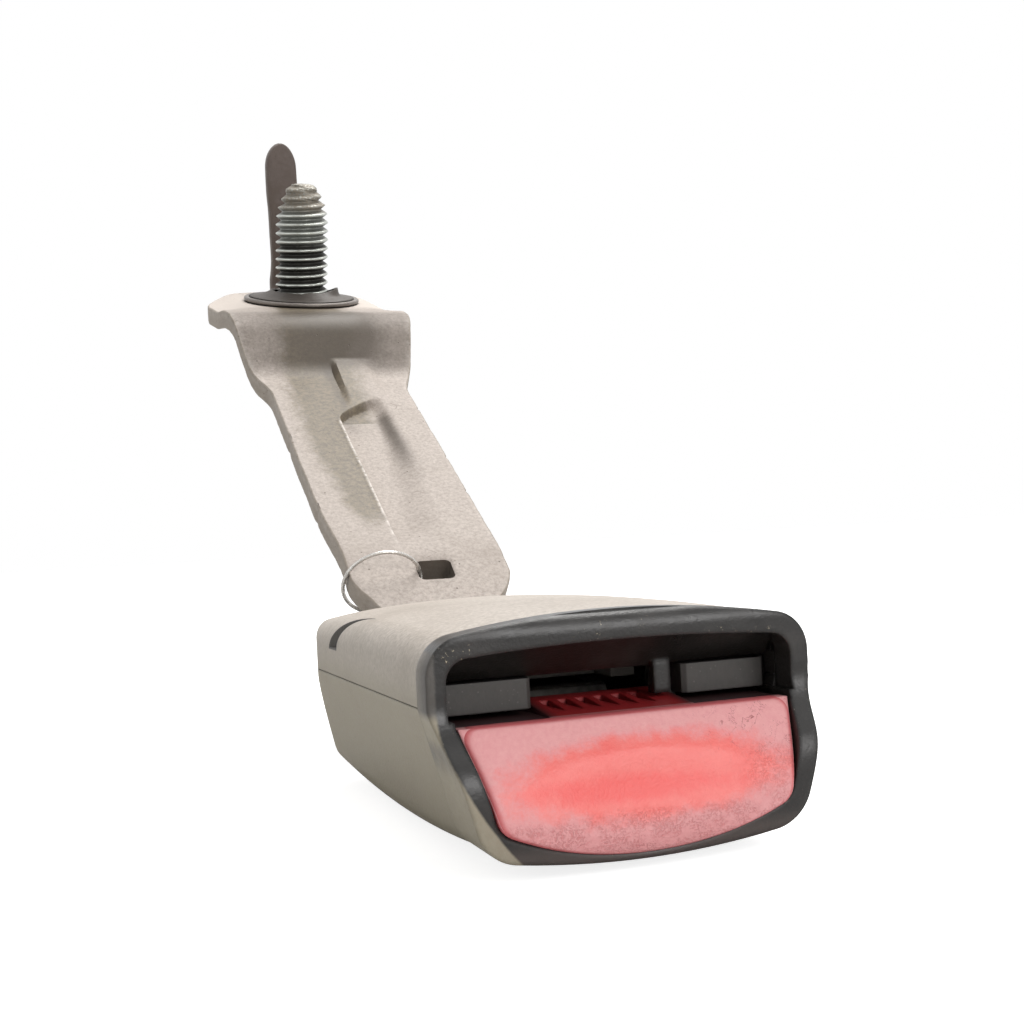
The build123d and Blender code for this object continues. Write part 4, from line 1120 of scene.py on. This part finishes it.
def soot_and_shade_on_strap(x, s, y):
    """Soot and painted shade on the riser and the flange; painted shade in the gusset's corner,
    the gully, at the bead's far end and round the hole.
    """
    riser_soot_and_shade = soft_step(y, 131.5, 137.0) * (1 - soft_step(y, 142.5, 150.0))
    soot_and_shade = riser_soot_and_shade * (0.50 + 0.42 * hill(x, 0.5, 9.0) * (1 - 0.6 * gusset_share(x, s)))
    soot_and_shade += 0.30 * hill(x, 6.5, 4.0) * hill(y, 139.0, 2.6)
    soot_and_shade += 0.70 * hill(x, -1.5, 5.5) * hill(y, 152.0, 3.0)
    soot_and_shade += 0.55 * hill(x, -0.8, 0.9) * soft_step(y, 119, 124) * (1 - soft_step(y, 134, 138))
    gully_reach = 1.4 + 0.8 * soft_step(y, 118, 98)
    # painted shade: the bead's right wall, which faces away from the light
    gully = hill(x, 5.9, gully_reach) * soft_step(y, 92, 112) * (1 - soft_step(y, 118, 123.5))
    soot_and_shade += 0.75 * gully + 0.25 * hill(x, 0.5, 3.5) * hill(y, 116.0, 3.0)
    soot_and_shade += 0.35 * hill(x, -1.0, 1.1) * hill(y, 118.5, 3.0)
    return soot_and_shade + 0.30 * hill(x, 1.3, 3.8) * hill(y, 73.6, 3.2) * (abs(x - 1.3) < 3.4)


def highlight_and_pale_edges_on_strap(x, s, y):
    """A painted highlight on the bead's lip, and paler metal along the sheared edges."""
    highlight_and_pale_edges = 0.75 * hill(x, -2.95, 0.20) * soft_step(y, 78, 82) * (1 - soft_step(y, 116.5, 118))
    return highlight_and_pale_edges + 0.15 * hill(abs(x), half_width(s) - 0.3, 0.45)


# %% Marks on the strap's points
DUSTY, WALL_SHADE = 0.25, 1.1        # soot on the underside, and painted shade on the hole's wall
point_x, point_s = strap_x.reshape(-1), strap_s.reshape(-1)
point_y = on_line(point_s)[0]
is_upper = strap_height.reshape(-1) > -PLATE / 2
side = np.zeros(strap_x.shape)
side[:, top_count:top_count + side_count] = 1
side[:, 2 * top_count + side_count:] = 1
strap_marks = {
    "oil": np.where(is_upper, oil_on_strap(point_x, point_y), 0.0),
    "soot_and_shade": np.where(is_upper, soot_and_shade_on_strap(point_x, point_s, point_y), DUSTY),
    "highlight_and_pale_edges": np.where(is_upper, highlight_and_pale_edges_on_strap(point_x, point_s, point_y), 0.0),
    "side": side.reshape(-1),
}
for mark, on_grid in strap_marks.items():
    on_wall = np.full(2 * rim_count, WALL_SHADE if mark == "soot_and_shade" else 0.0)
    strap_marks[mark] = np.concatenate([on_grid, on_wall])
print("oil covers", round(100 * float((strap_marks["oil"] > 0.4).mean())), "% of the points")


# %% [markdown]
# ## Strap steel
#
# Phosphate is a layer of crystals that looks chalky, so the shader is hardly
# metal at all.  Its colour is a light warm grey with a mottle of crystals.
# The sheared sides are torn: a smooth burnished band above, a grainy fracture
# below, both a little darker than the face.

# %% Strap steel
def strap_steel():
    """Mottled phosphate with oil, soot, pits, scratches and torn sides, plus painted shade, a
    painted highlight and a flange painted paler as lit.
    """
    f = Finish("strap_steel", metallic=0.05, specular=0.32)
    crystal = f.noise(0.6, detail=5, rough=0.75)
    cloud = f.noise(9.0, detail=4, rough=0.6, twist=0.4)
    base = f.blend(f.band(crystal, 0.3, 0.7), linear("9F958D"), linear("BEB4AC"))
    base = f.over(base, "958A80", f.band(cloud, 0.48, 0.78, 0.0, 0.35))
    # painted light: the flange, which faces up to the lamp, is painted paler
    base = f.over(base, "D6CCC3", f.band(f.axis("Y"), 150.0, 156.0), 0.85)
    creeping = f.ragged(f.attribute("oil"), 3.0, 0.9, detail=6, rough=0.72)
    oil = f.band(creeping, 0.15, 0.70)
    thick = f.band(f.noise(0.9, detail=5, rough=0.8), 0.3, 0.7)
    oily = f.blend(thick, linear("4A4132"), linear("7A6E58"))
    base = f.blend(f.times(oil, 0.88), base, oily)
    # soot, and painted shade on the riser, in the gully, round the gusset, at the bead's far
    # end and in the hole
    soot_and_shade = f.band(f.ragged(f.attribute("soot_and_shade"), 2.0, 0.35), 0.0, 0.95)
    base = f.over(base, "4A4239", soot_and_shade, 0.88)
    sheared = f.attribute("side")
    tear = f.noise(0.7, detail=4, rough=0.7, stretch=(1, 2.5, 0.5))
    cut = f.blend(tear, linear("867C70"), linear("A89E92"))
    base = f.blend(f.times(sheared, 0.8), base, cut)
    patchy = f.band(f.noise(1.6, detail=4, rough=0.7), 0.35, 0.6)
    # painted highlight on the bead's lip, and paler sheared edges
    base = f.over(base, "EDE6DF", f.attribute("highlight_and_pale_edges"), patchy)
    pit = f.band(f.cells(2.3), 0.085, 0.04)
    base = f.over(base, "51483F", pit, 0.8)
    scratch = f.cells(5.0, "DISTANCE_TO_EDGE", stretch=(2.2, 0.5, 0.5))
    few = f.band(f.noise(6.0), 0.55, 0.65)
    base = f.over(base, "6B6157", f.band(scratch, 0.010, 0.002), few, 0.5)
    # painted shade in corners
    base = f.over(base, "1E1B18", f.corner_shade(2.5), 0.8)
    height = f.calc("ADD", crystal, f.times(pit, -1.5))
    height = f.calc("ADD", height, f.times(tear, sheared, 2.5))
    return f.wear(base, f.band(oil, 0.0, 1.0, 0.60, 0.46), f.bumps(height, 0.03))


finishes["strap_steel"] = strap_steel()
make_piece("pressed_strap", strap_points, strap_quads, "buckle", "anchor_strap",
           finishes["strap_steel"], caps=strap_corners, values=strap_marks)

# %% [markdown]
# ## The tab
#
# A narrow tab is turned up from the back of the flange, to stop the strap from
# turning.  Its section is a rectangle with round corners, written as a
# superellipse: cosine and sine raised to a small power, with their signs kept.
# It is carried round a tight bend and up, and its width closes over the top
# like the end of an ellipse.  The tab leans a little to the left.  Its steel is
# browner and barer than the strap's face, and its dark colour is partly rust and
# partly painted shade, for the shade that the tab stands in.

# %% Tab
TAB_HALF, TAB_HALF_PLATE, TAB_HEIGHT, TAB_TAPER = 3.4, 1.6, 33.2, 5.6
TAB_SQUARENESS, TAB_LEAN = 0.28, 1.7


def squared(wave):
    """A sine or cosine flattened towards 1 and -1, which squares a circle's sides."""
    return np.sign(wave) * abs(wave) ** TAB_SQUARENESS


def tab_surface():
    """Grid of the tab: rows along its bent line, columns round its section."""
    start = seat + 16.0 * along_flange - 0.2 * off_flange
    foot = seat + 19.4 * along_flange - 0.2 * off_flange
    path = bent_line([start, foot, foot + TAB_HEIGHT * off_flange], [2.6])
    distance, way = measure(path)
    end = distance[-1]
    closing = 1 - np.sin(np.linspace(0.15, np.pi / 2, 14))
    s = np.concatenate([np.linspace(0, 6, 14), np.linspace(7, end - TAB_TAPER, 22),
                        end - TAB_TAPER * closing])[:, None]
    to_tip = np.clip(end - s, 0, TAB_TAPER)
    w = TAB_HALF * np.sqrt(np.maximum(1 - (1 - to_tip / TAB_TAPER) ** 2, 0.008)) ** 1.15
    w = w + 0.5 * np.exp(-np.maximum(s - 5.0, 0) / 3.0) + 0.06 * wander(s, 3.0, 21)
    angle = np.linspace(0, 2 * np.pi, 32, endpoint=False)[None, :]
    x = w * squared(np.cos(angle)) + 0.7 - TAB_LEAN * soft_step(s, 4, end)
    h = -TAB_HALF_PLATE + TAB_HALF_PLATE * squared(np.sin(angle))
    y, z = np.interp(s, distance, path[:, 0]), np.interp(s, distance, path[:, 1])
    ny, nz = np.interp(s, distance, -way[:, 1]), np.interp(s, distance, way[:, 0])
    return np.stack([x, y + ny * h, z + nz * h], axis=-1)


def tab_steel():
    """Brown steel with cloudy rust, dark partly as painted shade, and edges rubbed pale."""
    f = Finish("tab_steel", metallic=0.25, specular=0.4)
    rust = f.noise(1.3, detail=5, rough=0.7)
    # painted shade: the tab's dark brown is partly rust and partly the shade it stands in
    base = f.blend(rust, linear("4C423D"), linear("736862"))
    base = f.over(base, "5E534C", f.band(f.noise(5.0, detail=3), 0.45, 0.7))
    base = f.over(base, "BDB4AC", f.rim(0.5), 0.75)
    skin = f.bumps(rust, 0.05, f.rounded(0.4))
    return f.wear(base, f.band(rust, 0.2, 0.8, 0.5, 0.65), skin)


tab = tab_surface()
tab_rows, tab_columns = tab.shape[:2]
tab_ring = np.arange(tab_columns)
make_piece("turned_up_tab", tab.reshape(-1, 3), tube_faces(tab), "buckle",
           None, tab_steel(), caps=[tab_ring[::-1], (tab_rows - 1) * tab_columns + tab_ring])

# %% [markdown]
# ## The anchor stud
#
# The stud is a 7/16 inch bolt with 14 threads to the inch, pushed up through
# the flange from below.  Everything on it is one surface: a radius that
# depends on the angle round the axis and on the height along it.  Round parts
# ignore the angle, the hexagon is the distance to a flat divided by the cosine
# of the angle from that flat's middle, and the thread is a triangle wave of
# height minus pitch times the turn, which is what makes it climb.

# %% Round the stud, and its thread
PITCH = 25.4 / 14
CREST, THREAD_DEPTH = 5.556, 1.02
THREAD_FROM, THREAD_TO = 1.15, 24.7        # heights between which the thread is cut
stud_axis = np.array([0.0, off_flange[0], off_flange[1]])
stud_forward = np.array([0.0, along_flange[0], along_flange[1]])
stud_foot = np.array([0.0, seat[0], seat[1]])


def round_the_stud(radius, angle, height):
    """X, Y, Z of points at a radius, an angle from X and a height along the axis."""
    across = np.array([1.0, 0.0, 0.0])
    spoke = np.cos(angle)[..., None] * across + np.sin(angle)[..., None] * stud_forward
    return stud_foot + radius[..., None] * spoke + height[..., None] * stud_axis


def thread(angle, height):
    """Depth of the thread: a triangle wave with flat crest and root, between two heights."""
    phase = (height / PITCH - angle / (2 * np.pi)) % 1.0
    wave = np.clip(1.15 - 2.6 * abs(phase - 0.5), 0, 1)
    start = soft_step(height, 1.2, 2.2)
    worn = 0.10 * hill(height, 14.5, 3.5) * wander(angle * 3 + height * 2, 1.3, 5)
    cut = THREAD_DEPTH * (1 - wave) * start * (1 + worn)
    return np.where((height > THREAD_FROM) & (height < THREAD_TO), cut, 0)


# %% Stud surface
HEXAGON_HALF, HEAD_TOP = 8.0, -6.65        # half the width over flats, and its upper end
STUD_HEAD = np.array([[0.0, -12.1], [6.8, -12.1], [8.6, -11.5], [9.4, -11.2], [9.4, -6.9],
                      [9.4, -6.6], [10.2, -6.6], [10.5, -6.4], [10.5, -4.8], [10.3, -4.65],
                      [5.3, -4.65], [5.3, 1.1]])
STUD_TIP = np.array([[2.3, 24.8], [1.2, 25.0], [0.0, 25.0]])


def stud_surface():
    """Grid of the stud: rows from the hexagon's underside up to the tip."""
    angle = np.linspace(0, 2 * np.pi, 120, endpoint=False)[None, :]
    levels = np.arange(1.2, 24.6, PITCH / 12)
    closing = np.clip((levels - 19.3) / 5.7, 0, 1)
    envelope = CREST - 2.45 * closing ** 1.15 - 0.30 * soft_step(levels, 16.5, 19.8)
    envelope = envelope - 0.25 * soft_step(levels, 23.8, 24.6)
    radius = np.concatenate([STUD_HEAD[:, 0], envelope, STUD_TIP[:, 0]])[:, None]
    height = np.concatenate([STUD_HEAD[:, 1], levels, STUD_TIP[:, 1]])[:, None]
    flat_angle = (angle + np.pi / 6) % (np.pi / 3) - np.pi / 6
    hexagon = HEXAGON_HALF / np.cos(flat_angle)
    radius = np.where(height < HEAD_TOP, np.minimum(radius, hexagon), radius)
    fade = 1 - 0.55 * soft_step(height, 20.0, 24.0)
    lumps = 0.16 * wander(angle * 2.2 + height * 4, 1.0, 11) * soft_step(height, 19.5, 21)
    facing = (angle + np.pi / 2 - 0.02) * 5
    nick = 0.55 * hill(height, 14.6, 0.45) * hill(facing, 0, 0.45)
    radius = np.maximum(radius - thread(angle, height) * fade + lumps - nick, 0)
    return radius, np.broadcast_to(angle, radius.shape), np.broadcast_to(height, radius.shape)


stud_radius, stud_angle, stud_height = stud_surface()
stud = round_the_stud(stud_radius, stud_angle, stud_height)
print("thread pitch", round(PITCH, 3), "mm, stud stands", stud_height.max(), "mm high")

# %% [markdown]
# ## Stud steel
#
# The stud was zinc plated.  A nut has scraped the upper threads bright, while
# the roots and the lower threads hold black grease.  The mesh carries how deep
# each point lies under the crest, so grease can follow the thread exactly.

# %% Stud finish
def bolt_steel():
    """Scraped zinc on the crests, black grease in the roots, and a dull brown tip."""
    f = Finish("bolt_steel", metallic=0.8, specular=0.5)
    grit = f.noise(0.5, detail=5, rough=0.7)
    base = f.blend(grit, linear("9C9F98"), linear("D9DCD6"))
    deep = f.band(f.calc("ADD", f.attribute("depth"), f.times(grit, 0.35)), 0.22, 0.60)
    grease = f.times(deep, f.band(f.attribute("low_end"), 0.0, 1.0, 0.62, 0.97))
    base = f.over(base, "2C2A27", grease)
    tip = f.times(f.attribute("tip"), f.band(grit, 0.25, 0.6))
    base = f.over(base, "7C7264", tip, 0.9)
    f.put(f.shader.inputs["Metallic"], f.band(tip, 0.0, 0.9, 0.8, 0.15))
    rough = f.calc("MAXIMUM", f.band(grease, 0.0, 1.0, 0.28, 0.55), f.times(tip, 0.62))
    return f.wear(base, rough, f.bumps(grit, 0.06))


finishes["bolt_steel"] = bolt_steel()
stud_marks = {
    "depth": thread(stud_angle, stud_height) / THREAD_DEPTH,
    "low_end": 1 - soft_step(stud_height, 11.8, 13.2),
    "tip": soft_step(stud_height, 18.8, 20.2),
}
make_piece("threaded_stud", stud.reshape(-1, 3), tube_faces(stud), "bolt",
           "anchor_bolt", finishes["bolt_steel"], sharp=50, values=stud_marks)

# %% [markdown]
# ## The torn collar
#
# A cone of soft plastic keeps the stud in the strap until it is screwed home.
# Its radius falls in a hollow curve from the washer to the stud.  It has been
# pulled over a thread and torn, so its edge is wavy and a flap of it
# stands out on the right.  The flap is one hill in the angle that grows with
# height, added to both the radius and the height.

# %% Collar surface
COLLAR_FOOT, COLLAR_FALL, COLLAR_WALL, COLLAR_BORE = 11.3, 5.0, 0.55, 5.75
COLLAR_FROM, COLLAR_RISE, COLLAR_SEAT = 1.12, 1.35, 1.1


def collar_surface():
    """Grid of the collar: rows up the outside, over the torn lip and down the inside."""
    angle = np.linspace(0, 2 * np.pi, 96, endpoint=False)[None, :]
    t = np.linspace(0, 1, 14)[:, None]
    flap = hill(np.sin((angle + 0.35) / 2) * 2, 0, 0.42)
    waves = 0.35 * wander(angle * 4, 1.0, 31) + 0.15 * wander(angle * 11, 1.0, 32)
    outside = COLLAR_FOOT - COLLAR_FALL * t ** 0.6 + 0.15 * waves * t + flap * (1.5 * t ** 2)
    curl = flap * (0.7 * t ** 2 + 0.35 * np.sin(t * 9) * t)
    height = COLLAR_FROM + (COLLAR_RISE + 0.45 * waves) * t ** 1.3 + curl
    inside = np.maximum(outside[::-1] - COLLAR_WALL, COLLAR_BORE) * np.ones_like(angle)
    inner_height = np.maximum(height[::-1] - 0.25 * t[::-1], COLLAR_SEAT)
    radius = np.concatenate([outside, inside])
    level = np.concatenate([height, inner_height])
    return round_the_stud(radius, np.broadcast_to(angle, radius.shape), level)


collar = collar_surface()
make_piece("torn_collar", collar.reshape(-1, 3), tube_faces(collar, closed_rows=True), "bolt",
           "retaining_collar", finishes["collar_rubber"])

# %% [markdown]
# ## The tag ring
#
# A thin wire ring hangs in the square hole; it carried a paper tag in the
# factory.  It is a torus: one angle runs round the ring and one round the wire.
# The ring stands square to the sheet, passes through the hole on its
# right and clears the strap's left edge.

# %% Ring
RING_RADIUS, WIRE_RADIUS, RING_LEAN = 6.1, 0.30, radians(130)
RING_MIDDLE = np.array([-6.95, 75.25, 10.04])


def ring_surface():
    """Grid of the ring: rows round the ring, columns round the wire."""
    up = np.array([0.0, np.cos(RING_LEAN), np.sin(RING_LEAN)])
    out = np.array([0.0, -np.sin(RING_LEAN), np.cos(RING_LEAN)])
    turn = np.linspace(0, 2 * np.pi, 96, endpoint=False)[:, None, None]
    around = np.linspace(0, 2 * np.pi, 12, endpoint=False)[None, :, None]
    spoke = np.cos(turn) * np.array([1.0, 0.0, 0.0]) + np.sin(turn) * up
    wire_radius = RING_RADIUS + WIRE_RADIUS * np.cos(around)
    return RING_MIDDLE + wire_radius * spoke + WIRE_RADIUS * np.sin(around) * out


ring = ring_surface()
make_piece("wire_ring", ring.reshape(-1, 3), tube_faces(ring, closed_rows=True), "ring",
           "tag_ring", ring_wire)

# %% [markdown]
# ## The button's face
#
# Under the thumb the button's face is one soft surface: it bulges towards the
# user at its foot, has a shallow dish with no edge, and rolls over at its rim.
# The outline is a trapezium with a bowed foot, drawn with the same tangent
# arcs as the strap.  The face is then a cubic in height, moved back by
# the dish: (1 - d squared) to the power 1.5, where d is the distance
# from the middle of an ellipse.

# %% Button face
FACE_CORNERS = np.array([[0, -2.32], [18.7, -2.32], [15.99, -12.35], [0, -19.07],
                         [-15.99, -12.35], [-18.7, -2.32], [0, -2.32]])
FACE_RADII = [1.2, 2.6, 36, 2.6, 1.2]
DISH_MIDDLE_Z, DISH_HALF_X, DISH_HALF_Z, DISH_DEPTH = -9.9, 14.0, 4.2, 0.80
SKIN_LIFT, ROLL_DEPTH, RIM_DEPTH = 0.32, 0.75, 1.7


def face_outline(count):
    """Points at even distances along the face's outline, as X and Z."""
    outline = bent_line(list(FACE_CORNERS), FACE_RADII)
    distance = measure(outline)[0]
    even = np.linspace(0, distance[-1], count, endpoint=False)
    return np.stack([np.interp(even, distance, outline[:, k]) for k in (0, 1)], axis=-1)


def face_surface():
    """Grid of the face: rings from its middle out to its rim, and back over the rim."""
    edge = face_outline(220)
    roll = np.linspace(0, np.pi / 2, 8)
    share = np.concatenate([np.linspace(0, 0.93, 30), 0.95 + 0.05 * np.sin(roll), [1.0]])
    back = np.concatenate([np.zeros(30), ROLL_DEPTH * (1 - np.cos(roll)), [RIM_DEPTH]])
    middle = np.array([0.0, -8.6])
    flat = middle + share[:, None, None] * (edge - middle)
    x, z = flat[..., 0], flat[..., 1]
    profile = np.polyfit([-1.4, -7.35, -12.3, -16.5], [0.6, -2.8, -4.4, -3.1], 3)
    d2 = (x / DISH_HALF_X) ** 2 + ((z - DISH_MIDDLE_Z) / DISH_HALF_Z) ** 2
    dish = DISH_DEPTH * np.clip(1 - d2, 0, 1) ** 1.5
    y = np.polyval(profile, z) - SKIN_LIFT + dish + back[:, None]
    edge_marks = np.broadcast_to(soft_step(share, 0.955, 0.99)[:, None], x.shape)
    return np.stack([x, y, z], axis=-1), edge_marks


face, face_edge = face_surface()
face_rows, face_columns = face.shape[:2]
face_back = (face_rows - 1) * face_columns + np.arange(face_columns)
make_piece("button_face", face.reshape(-1, 3), tube_faces(face), "button",
           None, finishes["button_plastic"], caps=[face_back], values={"edge": face_edge})

# %% [markdown]
# ## Floor
#
# The buckle lies on a white table that is nearly lost in the light.  A plain
# white floor would show a grey shadow, so part of its brightness is its own,
# for the camera only: what the camera sees goes to white, and just the darkest
# contact shadow remains.  From below, the table is clear, so that the underside
# can be seen.

# %% Floor
TABLE_HALF, TABLE_GAP, TABLE_GLOW = 3.0, 0.0002, 0.80      # metres, metres, share


def white_table():
    """White from above, with a glow for the camera only, and clear from below."""
    material = bpy.data.materials.new("white_table")
    material.use_nodes = True
    tree = material.node_tree
    shader = tree.nodes["Principled BSDF"]
    shader.inputs["Base Color"].default_value = (0.80, 0.80, 0.80, 1)
    shader.inputs["Roughness"].default_value = 0.9
    shader.inputs["Specular IOR Level"].default_value = 0.1
    shader.inputs["Emission Color"].default_value = (1, 1, 1, 1)
    seen_by = tree.nodes.new("ShaderNodeLightPath")
    glow = tree.nodes.new("ShaderNodeMath")
    glow.operation = "MULTIPLY"
    glow.inputs[1].default_value = TABLE_GLOW
    tree.links.new(seen_by.outputs["Is Camera Ray"], glow.inputs[0])
    tree.links.new(glow.outputs[0], shader.inputs["Emission Strength"])
    from_below = tree.nodes.new("ShaderNodeNewGeometry").outputs["Backfacing"]
    clear = tree.nodes.new("ShaderNodeBsdfTransparent")
    either_side = tree.nodes.new("ShaderNodeMixShader")
    tree.links.new(from_below, either_side.inputs[0])
    tree.links.new(shader.outputs[0], either_side.inputs[1])
    tree.links.new(clear.outputs[0], either_side.inputs[2])
    tree.links.new(either_side.outputs[0], tree.nodes["Material Output"].inputs["Surface"])
    return material


table_z = float(cad_box[0][2]) - TABLE_GAP
square = [(-1, -1), (1, -1), (1, 1), (-1, 1)]
sheet = bpy.data.meshes.new("table_top")
sheet.from_pydata([(TABLE_HALF * x, TABLE_HALF * y, table_z) for x, y in square],
                  [], [(0, 1, 2, 3)])
sheet.materials.append(white_table())
table_top = bpy.data.objects.new("table_top", sheet)
scene.collection.objects.link(table_top)
print("the table lies at", round(1000 * table_z, 2), "mm")
